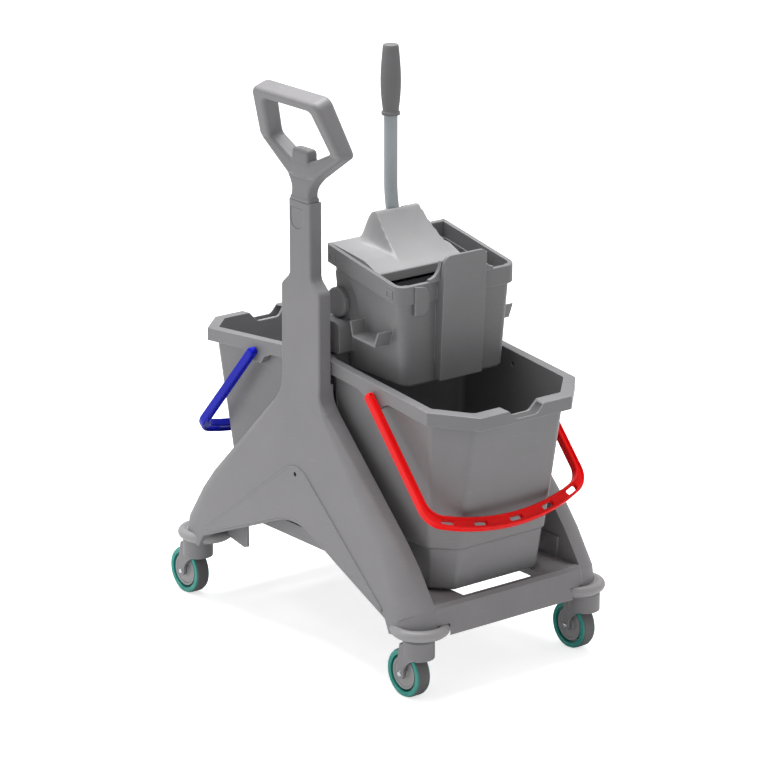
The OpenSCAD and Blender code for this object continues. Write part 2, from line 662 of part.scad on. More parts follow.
// Wringer
slot_w = 31;
tube_lean = 8;
rear_step_x = 34;
rear_step_z = 505;
wringer_low_w = 102;
side_w = wringer_w - 8;
function wringer_ring(z, d, r) =
    let(t = (z - wringer_z) / (608 - wringer_z), w = mix(wringer_low_w, side_w, t),
        x = mix(wringer_front - 7, wringer_front - 3, t))
    [for (p = rounded([[d, -w + d, max(r - d, 2)], [x - d, -w + d, max(r - d, 2)],
                       [x - d, w - d, max(r - d, 2)], [d, w - d, max(r - d, 2)]], 4)) [p.x, p.y, z]];
rim_zero = wringer_rim_z + wringer_slope * wringer_front;
module wringer_solid(d) {
    difference() {
        loft([wringer_ring(wringer_z + d, d + 4, 16), wringer_ring(wringer_z + d + 4, d, 16),
              wringer_ring(608, d, 16), wringer_ring(700, d, 16)]);
        translate([-20, -200, 0]) cube([20 + rear_step_x + d, 400, rear_step_z + d]);
    }
}
function band_outline(d) =
    let(rear_r = max(6 - d, 0), front_r = 18 - d)
    rounded([[-wringer_back + d, -wringer_w + d, rear_r], [wringer_front - d, -wringer_w + d, front_r],
             [wringer_front - d, wringer_w - d, front_r], [-wringer_back + d, wringer_w - d, rear_r]], 4);
module side_hook() {
    across(-133, -104) difference() {
        polygon(rounded([[1 - bucket_in, 500, 3], [45, 500, 4], [45, post_top + 4.5, 14],
                         [1 - bucket_in, post_top + 4.5, 8]], 3));
        translate([post_back - 0.3, 0]) square([post_front - post_back + 0.6, post_top]);
    }
}
module lifting_lug() {
    across(-138, -104) polygon([[78, 566], [84, 540], [142, 536], [152, 562], [148.5, 562],
        [139.5, 540], [86.5, 543.5], [81.5, 566]]);
}
module splash_guard() {
    intersection() {
        across(-guard_w, guard_w)
            polygon([[wringer_front - 6, 476], [wringer_front + 8, 474], [wringer_front + 19, guard_z],
                     [wringer_front + 13.5, guard_z], [wringer_front + 8, 648], [wringer_front - 6, 612]]);
        rotate([90, 0, 90]) linear_extrude(300)
            polygon(rounded([[-guard_w, 470, 3], [guard_w, 470, 3], [guard_w, guard_z, 12],
                             [-guard_w, guard_z, 12]], 4));
    }
}
module wringer_body() color(grey) {
    difference() {
        union() {
            intersection() {
                wringer_solid(0);
                slab(rim_zero, wringer_slope, 400);
            }
            intersection() {
                translate([0, 0, 560]) linear_extrude(200) polygon(band_outline(0));
                slab(rim_zero, wringer_slope, wringer_band);
            }
            two_sides() {
                side_hook();
                lifting_lug();
            }
            splash_guard();
        }
        difference() {
            wringer_solid(wringer_wall);
            two_sides() translate([shaft_x, -104, shaft_z]) rotate([90, 0, 0]) cylinder(r = 54, h = 20);
        }
        intersection() {
            translate([0, 0, 560]) linear_extrude(200) polygon(band_outline(8));
            above(rim_zero - wringer_band + 4, wringer_slope);
        }
        two_sides() intersection() {
            translate([shaft_x, -107.5, shaft_z]) rotate([90, 0, 0]) cylinder(r = 50, h = 20);
            translate([-50, -140, 553]) cube([200, 60, 79]);
        }
        translate([shaft_x, 0, shaft_z]) rotate([90, 0, 0])
            cylinder(d = shaft_d + 2 * pin_gap, h = 300, center = true);
        translate([-40, -slot_w / 2, shaft_z - 24]) cube([40 + 8, slot_w, 200]);
        translate([-40, -side_w, 645]) cube([43, 2 * side_w, 200]);
        for (i = [0:6], j = [-1, 0, 1])
            translate([62 + 14 * i, j * 58 - 25, wringer_z - 1]) cube([8, 50, 10]);
        translate([hinge.x, 0, hinge.y]) rotate([90, 0, 0])
            cylinder(d = rod_d + 2 * pin_gap, h = 2 * wringer_low_w - 4, center = true);
    }
}
// Cover: the hood's front face is a curve from the ridge down to the lip
ridge_x = 25;
lip_x = 120;
deck = [[-8, 672], [84, 661], [lip_x, 646]];
cover_t = 3;
cover_w = wringer_w - 8 - run_gap;
function curve(t) = (1 - t) * (1 - t) * [ridge_x, hood_ridge_z] + 2 * t * (1 - t) * [74, 658] + t * t * deck[2];
module cover_profile(d) {
    polygon(rounded([[-8 + d, 640 - d, 0], [-8 + d, 672 - d, 7 - d], [84, 661 - d, 0], [lip_x - d, 646 - d, 0],
        [lip_x - d, 632 - d, 0]], 3));
}
function hood_ring(t, d) =
    let(p = curve(1 - t), s = (p.y - 655) / (hood_ridge_z - 655),
        w = hood_ridge_w + (hood_foot_w + 6 - hood_ridge_w) * pow(1 - s, 2.2) - d,
        back = mix(-14, ridge_x - 3, pow(s, 1.5)) + d)
    [[back, -w, p.y - d], [max(p.x - d, back + 0.5), -w, p.y - d], [max(p.x - d, back + 0.5), w, p.y - d], [back, w, p.y - d]];
module hood(d) {
    loft([for (k = [2:8]) hood_ring(k / 8, d)]);
}
module wringer_cover() color([0.66, 0.65, 0.66]) difference() {
    intersection() {
        union() {
            across(-cover_w, cover_w) cover_profile(0);
            hood(0);
        }
        above(rim_zero - wringer_band + 4, wringer_slope);
    }
    across(-cover_w + 4, cover_w - 4) cover_profile(cover_t);
    hood(cover_t);
    across(-slot_w / 2, slot_w / 2)
        polygon([[-60, 560], [ridge_x - 1.6 + (hood_ridge_z - 560) * tan(tube_lean), 560],
                 [ridge_x - 1.6, hood_ridge_z], [ridge_x - 1.6, 760], [-60, 760]]);
}
module sieve_plate() color(grey) difference() {
    translate([163, -88, wringer_z + wringer_wall]) cube([3, 176, 130]);
    for (i = [0:8], j = [0:5]) translate([150, -80 + 20 * i, 490 + 20 * j]) rotate([0, 90, 0]) cylinder(d = 8, h = 30);
}

// Gear teeth: radius of the pitch circle, half angle of a tooth at a radius, and one tooth's outline
function pitch_r(n) = tooth_m * n / 2;
function involute(a) = tan(a) * 180 / PI - a;
pressure = 20;
function half_tooth(n, r) =
    let(base = pitch_r(n) * cos(pressure))
    90 / n + involute(pressure) - involute(acos(min(1, base / max(r, base)))) - 0.2 / pitch_r(n) * 180 / PI;
function tooth(n, a) =
    let(p = pitch_r(n), lo = p - 1.25 * tooth_m, hi = p + tooth_m,
        rs = [for (i = [0:4]) lo + (hi - lo) * i / 4])
    concat([for (r = rs) r * [cos(a - half_tooth(n, r)), sin(a - half_tooth(n, r))]],
           [for (i = [4:-1:0]) let(r = rs[i]) r * [cos(a + half_tooth(n, r)), sin(a + half_tooth(n, r))]]);
// Toothed sector with its hub at the origin: teeth from k0 to k1 steps past the angle a0
module toothed_sector(n, a0, k0, k1, hub) {
    step = 360 / n;
    root = hub - 1.5;
    polygon(concat([root * [cos(a0 + (k1 + 1.2) * step), sin(a0 + (k1 + 1.2) * step)], [0, 0],
                    root * [cos(a0 + (k0 - 1.2) * step), sin(a0 + (k0 - 1.2) * step)]],
                   [for (k = [k0:k1]) each tooth(n, a0 + k * step)]));
    circle(r = hub);
}
centre_d = pitch_r(pinion_n) + pitch_r(sector_n) + gear_play;
hinge = [shaft_x + centre_d * cos(mesh_angle), shaft_z - centre_d * sin(mesh_angle)];
hub_d = 44;
bend_z = 744;
lean_len = (bend_z - shaft_z - hub_d / 2 - 2) / cos(tube_lean);
socket_l = 30;
module lever_shaft() color(steel) {
    difference() {
        leaning(lean_len - socket_l) cylinder(d = tube_d + 6, h = socket_l + 12);
        leaning(lean_len - socket_l - 1) cylinder(d = tube_d, h = socket_l + 1);
    }
    translate([shaft_x, 0, shaft_z]) {
        rotate([90, 0, 0]) cylinder(d = shaft_d, h = 214, center = true);
        rotate([90, 0, 0]) cylinder(d = hub_d, h = slot_w - 2, center = true);
        for (s = [-1, 1]) across(s * gear_y - gear_t / 2, s * gear_y + gear_t / 2)
            toothed_sector(pinion_n, -mesh_angle, -3, 1, shaft_d / 2 + 1);
    }
}
module press_plate() color(dark_grey) translate([hinge.x, 0, hinge.y]) difference() {
    union() {
        rotate([0, -press_lean, 0]) translate([-press_t / 2, -96, 8]) cube([press_t, 192, press_len - 8]);
        for (y = [-84, -28, 28, 84]) rotate([0, -press_lean, 0]) translate([0, y - 4, 0]) {
            translate([-press_t / 2, 0, 0]) cube([press_t, 8, 20]);
            rotate([-90, 0, 0]) cylinder(d = rod_d + 8, h = 8);
        }
        for (s = [-1, 1]) across(s * gear_y - gear_t / 2, s * gear_y + gear_t / 2) difference() {
            union() {
                toothed_sector(sector_n, 180 - mesh_angle, -1.5, 3.5, 9);
                polygon(concat([[0, 0]], [for (a = [90 + press_lean, 125, 137]) 112 * [cos(a), sin(a)]]));
            }
        }
    }
    rotate([90, 0, 0]) cylinder(d = rod_d, h = 400, center = true);
}
module press_rod() color(steel)
    translate([hinge.x, 0, hinge.y]) rotate([90, 0, 0]) cylinder(d = rod_d, h = 2 * wringer_low_w - 4.4, center = true);
module pivot_caps() color(grey) two_sides()
    translate([shaft_x, -108, shaft_z]) rotate([90, 0, 0]) {
        cylinder(d = cap_d, h = 8);
        translate([0, 0, 8]) cylinder(d1 = cap_d, d2 = cap_d - 5, h = 2);
    }

// Lever: below a mitred bend the tube leans forward into the socket on the shaft
module leaning(from) {
    translate([tube_x, 0, bend_z]) rotate([0, 180 - tube_lean, 0]) translate([0, 0, from]) children();
}
module past_mitre(side) {
    translate([tube_x, 0, bend_z]) rotate([0, -tube_lean / 2, 0])
        translate([-tube_d, -tube_d, side * tube_d - tube_d]) cube(2 * tube_d);
}
module lever_tube() color([0.6, 0.64, 0.67]) difference() {
    translate([tube_x, 0, bend_z - 10]) cylinder(d = tube_d, h = lever_top - 2 - bend_z);
    past_mitre(-1);
}
module lever_neck() color([0.6, 0.64, 0.67]) difference() {
    leaning(-10) cylinder(d = tube_d, h = lean_len + 10);
    past_mitre(1);
}
module lever_grip() color(dark_grey) difference() {
    h = lever_top - grip_z;
    translate([tube_x, 0, grip_z]) rotate_extrude() polygon(concat([[0, 0], [15, 0], [15, 5], [13, 6]],
        [for (i = [0:8]) [13 + (grip_d / 2 - 13) * sin(180 * pow(i / 8, 0.9)), 8 + (h - 12) * i / 8]], [[12, h], [0, h]]));
    translate([tube_x, 0, grip_z - 1]) cylinder(d = tube_d, h = lever_top - 11 - grip_z);
}

near_panel();
far_panel();
near_facing();
far_facing();
base_frame();
castor_lips();
wringer_bridge();
push_handle();
handle_lock();
handle_screws();
red_bucket();
blue_bucket();
red_bail();
blue_bail();
at_castor(1, -1) fork();  // fork_front_near
at_castor(1, -1) axle_bolt();  // bolt_front_near
at_castor(1, -1) wheel_hub();  // hub_front_near
at_castor(1, -1) wheel_ring();  // ring_front_near
at_castor(1, -1) wheel_tyre();  // tyre_front_near
at_castor(1, 1) fork();  // fork_front_far
at_castor(1, 1) axle_bolt();  // bolt_front_far
at_castor(1, 1) wheel_hub();  // hub_front_far
at_castor(1, 1) wheel_ring();  // ring_front_far
at_castor(1, 1) wheel_tyre();  // tyre_front_far
at_castor(-1, -1) fork();  // fork_back_near
at_castor(-1, -1) axle_bolt();  // bolt_back_near
at_castor(-1, -1) wheel_hub();  // hub_back_near
at_castor(-1, -1) wheel_ring();  // ring_back_near
at_castor(-1, -1) wheel_tyre();  // tyre_back_near
at_castor(-1, 1) fork();  // fork_back_far
at_castor(-1, 1) axle_bolt();  // bolt_back_far
at_castor(-1, 1) wheel_hub();  // hub_back_far
at_castor(-1, 1) wheel_ring();  // ring_back_far
at_castor(-1, 1) wheel_tyre();  // tyre_back_far
wringer_body();
wringer_cover();
sieve_plate();
lever_shaft();
pivot_caps();
lever_neck();
lever_tube();
lever_grip();
press_plate();
press_rod();
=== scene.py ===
import json
import math

import bmesh
import bpy
from mathutils import Matrix, Vector


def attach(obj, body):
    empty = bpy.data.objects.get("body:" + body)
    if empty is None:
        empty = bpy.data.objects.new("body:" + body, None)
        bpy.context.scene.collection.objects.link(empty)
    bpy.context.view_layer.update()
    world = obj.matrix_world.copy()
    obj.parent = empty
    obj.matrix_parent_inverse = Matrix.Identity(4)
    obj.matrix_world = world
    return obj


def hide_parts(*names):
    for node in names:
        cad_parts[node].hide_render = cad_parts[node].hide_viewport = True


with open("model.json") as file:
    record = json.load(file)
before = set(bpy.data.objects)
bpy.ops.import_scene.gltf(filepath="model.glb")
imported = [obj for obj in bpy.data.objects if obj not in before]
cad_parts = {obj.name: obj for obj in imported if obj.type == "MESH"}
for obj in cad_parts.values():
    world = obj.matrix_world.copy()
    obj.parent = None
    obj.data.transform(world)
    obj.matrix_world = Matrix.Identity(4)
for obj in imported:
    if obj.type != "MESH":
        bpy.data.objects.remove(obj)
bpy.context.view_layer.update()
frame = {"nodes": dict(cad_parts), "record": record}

MM = 0.001
RECORD = frame["record"]
BODY_OF = {node: body for body, nodes in RECORD["behaviour"]["bodies"].items() for node in nodes}
SLOT_OF = {part["node"]: part["material_slot"] for part in RECORD["subparts"]}


def mm(x, y, z):
    """A point given in millimetres, in metres."""
    return Vector((x * MM, y * MM, z * MM))


# Shader node groups that several finishes share

def new_group(name, inputs, outputs):
    """An empty shader group with float inputs (name, default) and named outputs."""
    group = bpy.data.node_groups.new(name, "ShaderNodeTree")
    for label, default in inputs:
        socket = group.interface.new_socket(name=label, in_out="INPUT", socket_type="NodeSocketFloat")
        socket.default_value = default
    for label in outputs:
        group.interface.new_socket(name=label, in_out="OUTPUT", socket_type="NodeSocketFloat")
    return group, group.nodes.new("NodeGroupInput"), group.nodes.new("NodeGroupOutput")


def node_of(tree, kind, values=None, links=None):
    """A node with some settings, and links from other sockets into its inputs."""
    node = tree.nodes.new(kind)
    for key, value in (values or {}).items():
        if isinstance(key, int) or key in node.inputs:
            node.inputs[key].default_value = value
        else:
            setattr(node, key, value)
    for key, source in (links or {}).items():
        tree.links.new(source, node.inputs[key])
    return node


def moulded_grain():
    """Fine grain of a moulded surface, and a slow mottle with faint flow lines."""
    group, into, out = new_group("moulded_grain", [("Grain Scale", 900.0), ("Mottle Scale", 9.0)],
                                 ["Height", "Mottle"])
    place = node_of(group, "ShaderNodeTexCoord")
    centred = node_of(group, "ShaderNodeMapping", {"Location": (0.0, 0.0, -0.4)},
                      {"Vector": place.outputs["Object"]})
    grain = node_of(group, "ShaderNodeTexNoise", {"Detail": 3.0, "Roughness": 0.6},
                    {"Vector": centred.outputs[0], "Scale": into.outputs["Grain Scale"]})
    mottle = node_of(group, "ShaderNodeTexNoise", {"Detail": 4.0, "Roughness": 0.55, "Distortion": 0.6},
                     {"Vector": centred.outputs[0], "Scale": into.outputs["Mottle Scale"]})
    group.links.new(grain.outputs[0], out.inputs["Height"])
    group.links.new(mottle.outputs[0], out.inputs["Mottle"])
    return group


def edge_wear_and_highlight():
    """Mask of edges lightened by abrasion and, on every edge alike, by a painted highlight: where a rounded
    normal leaves the true one, broken up by noise.
    """
    group, into, out = new_group("edge_wear_and_highlight", [("Radius", 0.002), ("Amount", 0.5)], ["Mask"])
    rounded = node_of(group, "ShaderNodeBevel", {"samples": 4}, {"Radius": into.outputs["Radius"]})
    true_normal = node_of(group, "ShaderNodeNewGeometry")
    dot = node_of(group, "ShaderNodeVectorMath", {"operation": "DOT_PRODUCT"},
                  {0: rounded.outputs[0], 1: true_normal.outputs["Normal"]})
    turned_edge = node_of(group, "ShaderNodeMapRange", {"From Min": 0.985, "From Max": 0.88},
                          {"Value": dot.outputs["Value"]})
    place = node_of(group, "ShaderNodeTexCoord")
    rubs = node_of(group, "ShaderNodeTexNoise", {"Scale": 34.0, "Detail": 5.0, "Roughness": 0.7},
                   {"Vector": place.outputs["Object"]})
    patchy = node_of(group, "ShaderNodeMapRange", {"From Min": 0.30, "From Max": 0.60, "To Min": 0.35},
                     {"Value": rubs.outputs[0]})
    both = node_of(group, "ShaderNodeMath", {"operation": "MULTIPLY"},
                   {0: turned_edge.outputs[0], 1: patchy.outputs[0]})
    scaled = node_of(group, "ShaderNodeMath", {"operation": "MULTIPLY"},
                     {0: both.outputs[0], 1: into.outputs["Amount"]})
    group.links.new(scaled.outputs[0], out.inputs["Mask"])
    return group


def fine_scratches():
    """Thin hairline scratches in two directions, as a mask."""
    group, into, out = new_group("fine_scratches", [("Scale", 30.0)], ["Mask"])
    place = node_of(group, "ShaderNodeTexCoord")
    masks = []
    for turn in (0.5, -0.9):
        lay = node_of(group, "ShaderNodeMapping",
                      {"Rotation": (turn, 0.4, turn * 1.7), "Scale": (1.0, 1.0, 16.0)},
                      {"Vector": place.outputs["Object"]})
        noise = node_of(group, "ShaderNodeTexNoise", {"Detail": 2.0, "Roughness": 0.4},
                        {"Vector": lay.outputs[0], "Scale": into.outputs["Scale"]})
        hairs = node_of(group, "ShaderNodeMapRange", {"From Min": 0.70, "From Max": 0.74},
                        {"Value": noise.outputs[0]})
        masks.append(hairs.outputs[0])
    top = node_of(group, "ShaderNodeMath", {"operation": "MAXIMUM"}, {0: masks[0], 1: masks[1]})
    group.links.new(top.outputs[0], out.inputs["Mask"])
    return group


GRAIN = moulded_grain()
WEAR_AND_HIGHLIGHT = edge_wear_and_highlight()
SCRATCH = fine_scratches()


def placed(tree, group, **values):
    """A node group in a material's tree, with its named values; an underscore stands for a space."""
    node = tree.nodes.new("ShaderNodeGroup")
    node.node_tree = group
    for label, value in values.items():
        node.inputs[label.replace("_", " ")].default_value = value
    return node


def blend_colour(tree, factor, first, second):
    """Mix of two colours, either written out or taken from a socket."""
    mix = tree.nodes.new("ShaderNodeMix")
    mix.data_type = "RGBA"
    tree.links.new(factor, mix.inputs["Factor"])
    for label, colour in (("A", first), ("B", second)):
        socket = [s for s in mix.inputs if s.name == label and s.type == "RGBA"][0]
        if isinstance(colour, tuple):
            socket.default_value = colour + (1.0,)
        else:
            tree.links.new(colour, socket)
    return [s for s in mix.outputs if s.type == "RGBA"][0]


def finish(name, dark, light, wear_and_highlight_colour, rough, grain=900.0, bump=0.0001, wear_and_highlight=0.5, metallic=0.0,
           coat=0.0, spread=0.06, soft=1.2, specular=0.5):
    """A moulded, painted or metal finish: mottled colour, grain, edges lightened by abrasion and by a painted
    highlight, and hairlines.
    """
    material = bpy.data.materials.new(name)
    material.use_nodes = True
    tree = material.node_tree
    shader = tree.nodes["Principled BSDF"]
    grained = placed(tree, GRAIN, Grain_Scale=grain, Mottle_Scale=9.0)
    # Edges blend towards the third colour: partly abrasion, partly a painted highlight along every edge.
    rubbed_and_lit_edges = placed(tree, WEAR_AND_HIGHLIGHT, Radius=0.0018, Amount=wear_and_highlight)
    hair = placed(tree, SCRATCH, Scale=30.0)
    spread_mottle = node_of(tree, "ShaderNodeMapRange", {"From Min": 0.3, "From Max": 0.7},
                            {"Value": grained.outputs["Mottle"]})
    base = blend_colour(tree, spread_mottle.outputs[0], dark, light)
    edged = blend_colour(tree, rubbed_and_lit_edges.outputs["Mask"], base, wear_and_highlight_colour)
    faint = node_of(tree, "ShaderNodeMath", {"operation": "MULTIPLY", 1: 0.12}, {0: hair.outputs["Mask"]})
    coloured = blend_colour(tree, faint.outputs[0], edged, wear_and_highlight_colour)
    tree.links.new(coloured, shader.inputs["Base Color"])
    uneven = node_of(tree, "ShaderNodeMapRange",
                     {"From Min": 0.3, "From Max": 0.7, "To Min": rough - spread, "To Max": rough + spread},
                     {"Value": grained.outputs["Mottle"]})
    tree.links.new(uneven.outputs[0], shader.inputs["Roughness"])
    soft_edges = node_of(tree, "ShaderNodeBevel", {"samples": 6, "Radius": soft * MM})
    relief = node_of(tree, "ShaderNodeBump", {"Strength": 0.35, "Distance": bump},
                     {"Height": grained.outputs["Height"], "Normal": soft_edges.outputs[0]})
    tree.links.new(relief.outputs[0], shader.inputs["Normal"])
    shader.inputs["Metallic"].default_value = metallic
    shader.inputs["Coat Weight"].default_value = coat
    shader.inputs["Coat Roughness"].default_value = 0.25
    shader.inputs["Specular IOR Level"].default_value = specular
    return material


# The third colour of each finish is that of scratched and abraded spots; on edges it also serves as a painted
# highlight, stronger where the amount is raised.
FINISHES = {
    "frame_plastic": finish("grey_polypropylene", (0.205, 0.200, 0.208), (0.235, 0.229, 0.237),
                            (0.42, 0.415, 0.42), 0.50, wear_and_highlight=0.9),
    "light_plastic": finish("pale_grey_polypropylene", (0.280, 0.276, 0.282), (0.315, 0.310, 0.317),
                            (0.44, 0.435, 0.44), 0.44, wear_and_highlight=0.8),
    "bucket_plastic": finish("bucket_polypropylene", (0.186, 0.183, 0.189), (0.214, 0.210, 0.217),
                             (0.42, 0.415, 0.42), 0.42, wear_and_highlight=0.9, bump=0.00006),
    "press_plastic": finish("press_polypropylene", (0.105, 0.104, 0.108), (0.125, 0.123, 0.128),
                            (0.2, 0.2, 0.2), 0.5),
    "teal_plastic": finish("teal_polyurethane", (0.010, 0.265, 0.215), (0.018, 0.320, 0.262),
                           (0.08, 0.40, 0.34), 0.36, coat=0.2),
    "tread_rubber": finish("grey_tread_rubber", (0.105, 0.105, 0.108), (0.135, 0.134, 0.138),
                           (0.2, 0.2, 0.2), 0.62, grain=600.0, bump=0.00025),
    "grip_rubber": finish("soft_grip_rubber", (0.150, 0.148, 0.152), (0.180, 0.177, 0.182),
                          (0.25, 0.25, 0.25), 0.6, grain=700.0, bump=0.00025),
    "red_plastic": finish("red_polypropylene", (0.80, 0.004, 0.005), (0.90, 0.007, 0.008),
                          (0.94, 0.05, 0.04), 0.38, wear_and_highlight=0.3, bump=0.00005, coat=0.05, specular=0.16),
    "blue_plastic": finish("blue_polypropylene", (0.003, 0.006, 0.36), (0.005, 0.010, 0.46),
                           (0.03, 0.05, 0.60), 0.38, wear_and_highlight=0.3, bump=0.00005, coat=0.04, specular=0.12),
    "steel": finish("bright_zinc_steel", (0.52, 0.53, 0.55), (0.64, 0.65, 0.67), (0.75, 0.75, 0.76), 0.24,
                    grain=1500.0, bump=0.00003, metallic=1.0),
    "tube_steel": finish("powder_coated_tube", (0.330, 0.365, 0.385), (0.380, 0.415, 0.435),
                         (0.42, 0.44, 0.45), 0.40, grain=1200.0, bump=0.00005),
}


# Mesh helpers

def added(name, data):
    """An object that is linked to the scene."""
    thing = bpy.data.objects.new(name, data)
    bpy.context.scene.collection.objects.link(thing)
    return thing


def finished_piece(name, mesh_work, slot, body, replaced=(), sharp=38.0):
    """Turns a bmesh into a piece with its finish that rides on a body and may replace nodes."""
    mesh = bpy.data.meshes.new(name)
    mesh_work.to_mesh(mesh)
    mesh_work.free()
    mesh.shade_smooth()
    mesh.set_sharp_from_angle(angle=math.radians(sharp))
    piece = added(name, mesh)
    mesh.materials.append(FINISHES[slot])
    modifier = piece.modifiers.new("weighted normals", "WEIGHTED_NORMAL")
    modifier.keep_sharp = True
    modifier.weight = 80
    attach(piece, body)
    if replaced:
        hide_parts(*replaced)


def node_copy(node):
    """The mesh of a CAD node with its doubles merged and its flat faces joined."""
    work = bmesh.new()
    work.from_mesh(frame["nodes"][node].data)
    work.transform(frame["nodes"][node].matrix_world)
    bmesh.ops.remove_doubles(work, verts=work.verts, dist=0.00001)
    bmesh.ops.dissolve_limit(work, angle_limit=math.radians(0.4), verts=work.verts, edges=work.edges)
    return work


def eased(work, width, angle=32.0, segments=2):
    """Rounds the sharp edges of a mesh as a mould does."""
    limit = math.radians(angle)
    edges = [e for e in work.edges if len(e.link_faces) == 2 and e.calc_face_angle(0.0) > limit
             and e.calc_length() > width]
    if edges:
        bmesh.ops.bevel(work, geom=edges, offset=width, offset_type="OFFSET", segments=segments,
                        profile=0.5, affect="EDGES", clamp_overlap=False, loop_slide=True)
    return work


# Outlines in X and Z, in millimetres

def unit(a, b):
    """Unit vector from one point to another."""
    x, z = b[0] - a[0], b[1] - a[1]
    length = math.hypot(x, z)
    return x / length, z / length


def inward(a, b):
    """Inward normal of an edge of a counterclockwise outline."""
    x, z = unit(a, b)
    return -z, x


def rounded_corner(before, corner, after, radius, steps):
    """Arc that rounds one corner of an outline, or the corner itself where the radius is 0."""
    if radius <= 0:
        return [(corner[0], corner[1])]
    u, v = unit(corner, before), unit(corner, after)
    half = math.acos(max(-1.0, min(1.0, u[0] * v[0] + u[1] * v[1]))) / 2
    across = math.hypot(u[0] + v[0], u[1] + v[1])
    reach = radius / math.sin(half)
    centre = (corner[0] + (u[0] + v[0]) / across * reach, corner[1] + (u[1] + v[1]) / across * reach)
    tangent = radius / math.tan(half)
    start = math.atan2(corner[1] + u[1] * tangent - centre[1], corner[0] + u[0] * tangent - centre[0])
    end = math.atan2(corner[1] + v[1] * tangent - centre[1], corner[0] + v[0] * tangent - centre[0])
    turn = (end - start + math.pi) % (2 * math.pi) - math.pi
    return [(centre[0] + radius * math.cos(start + turn * i / steps),
             centre[1] + radius * math.sin(start + turn * i / steps)) for i in range(steps + 1)]


def rounded(corners, steps=6):
    """Outline whose corners (x, z, radius) are rounded."""
    count = len(corners)
    return [point for i in range(count)
            for point in rounded_corner(corners[i - 1], corners[i], corners[(i + 1) % count], corners[i][2],
                                        steps)]


def circle(x, z, radius, count=28):
    """Points of a circle, counterclockwise."""
    return [(x + radius * math.cos(2 * math.pi * i / count), z + radius * math.sin(2 * math.pi * i / count))
            for i in range(count)]


def moved_in(a, b, c, first, second):
    """The point b between a and c, moved in from the edge before it and from the edge after it."""
    u, v = inward(a, b), inward(b, c)
    cross = u[0] * v[1] - u[1] * v[0]
    if abs(cross) > 0.4:
        return (b[0] + (first * v[1] - second * u[1]) / cross, b[1] + (second * u[0] - first * v[0]) / cross)
    across = math.hypot(u[0] + v[0], u[1] + v[1])
    mean = (first + second) / 2
    return b[0] + (u[0] + v[0]) / across * mean, b[1] + (u[1] + v[1]) / across * mean


def inset_by(outline, inset):
    """Outline moved in by the same distance all round."""
    count = len(outline)
    return [moved_in(outline[i - 1], outline[i], outline[(i + 1) % count], inset, inset)
            for i in range(count)]


# Mesh building

def loop_of(work, points):
    """A closed ring of vertices at points given in millimetres."""
    return [work.verts.new(mm(*point)) for point in points]


def strip(work, first, second):
    """Quads between two rings with the same number of vertices."""
    count = len(first)
    for i in range(count):
        work.faces.new((first[i], first[(i + 1) % count], second[(i + 1) % count], second[i]))


def skin(work, rings, ends=False, around=False):
    """Quads along a row of rings; the row may get faces at its ends or run round to its first ring."""
    for near, far in zip(rings, rings[1:] + (rings[:1] if around else [])):
        strip(work, near, far)
    if ends:
        work.faces.new(rings[0])
        work.faces.new(rings[-1])


def cap(work, loops, outward):
    """Triangles that fill a flat outline, given first, around the holes given after it."""
    edges = []
    for loop in loops:
        for i, vertex in enumerate(loop):
            pair = (vertex, loop[(i + 1) % len(loop)])
            edges.append(work.edges.get(pair) or work.edges.new(pair))
    bmesh.ops.triangle_fill(work, use_beauty=True, use_dissolve=False, edges=edges, normal=outward)


def closed_mesh(work):
    """Merges the doubles of a mesh and turns its faces outwards."""
    bmesh.ops.remove_doubles(work, verts=work.verts, dist=0.000001)
    bmesh.ops.recalc_face_normals(work, faces=work.faces)
    return work


# Side panels, built with finer fillets than the CAD nodes. A point of their outline is (x, z, corner radius,
# mark), where the mark tells how the edge after it is rounded

SLIGHT, DEEP, SHARP = 0, 1, 2
FACE_Y, FACE_SLOPE, CROTCH_Z, PANEL_IN, COLUMN_IN = 178.0, 0.066, 456.0, 150.0, 155.0
BASE_Z, ARCH_Z, MAST_TOP = 105.0, 226.5, 752.0
ARCH_RADIUS, ARCH_FOOT_X, ARCH_FOOT_Z = 110, 245, 126.2
SHOULDER_Z, KNEE_Z, SHIN_Z = 432, 244, 140
SMALL_FILLET, COLUMN_FILLET, KNEE_FILLET, SHIN_FILLET = 3.0, 4.0, 28.0, 46.0
FILLET_STEPS, CORNER_STEPS = 9, 7
FACE_HOLE = (0, 299, 4)
HOLE_DEPTH, LOCK_DEPTH = 16, 4
COLUMN_HALF, MAST_HALF_WIDTH = 50, 28
ARCH_HALF = [(ARCH_FOOT_X, ARCH_FOOT_Z, 8, SLIGHT), (257, BASE_Z, 0, SLIGHT)]
LEG_HALF = [(320.6, BASE_Z, 0, DEEP), (313.6, 150, 16, DEEP), (272, 208, 60, DEEP), (240, KNEE_Z, 70, DEEP),
            (70, 408, 40, DEEP), (COLUMN_HALF, SHOULDER_Z, 40, DEEP)]
MAST_HALF = [(COLUMN_HALF, CROTCH_Z, 0, DEEP), (COLUMN_HALF, 608, 12, DEEP), (MAST_HALF_WIDTH, 627, 16, DEEP),
             (MAST_HALF_WIDTH, MAST_TOP, 0, SLIGHT)]


def both_halves(half):
    """Right half of an outline followed by its mirror image; each point keeps its edge's mark."""
    left = [(-x, z, radius, half[i - 1][3] if i > 0 else SLIGHT)
            for i, (x, z, radius, mark) in reversed(list(enumerate(half)))]
    return [(0, ARCH_Z, ARCH_RADIUS, SLIGHT)] + half + left


def fillet_at(z, mark):
    """Radius of the fillet along an edge with a mark, at a height."""
    if mark != DEEP:
        return SMALL_FILLET if mark == SLIGHT else 0.0
    if z > SHOULDER_Z:
        return COLUMN_FILLET
    if z > KNEE_Z:
        rise = (z - KNEE_Z) / (SHOULDER_Z - KNEE_Z)
        return KNEE_FILLET + (COLUMN_FILLET - KNEE_FILLET) * rise ** 1.3
    rise = max(0.0, min(1.0, (z - SHIN_Z) / (KNEE_Z - SHIN_Z)))
    return SHIN_FILLET + (KNEE_FILLET - SHIN_FILLET) * rise


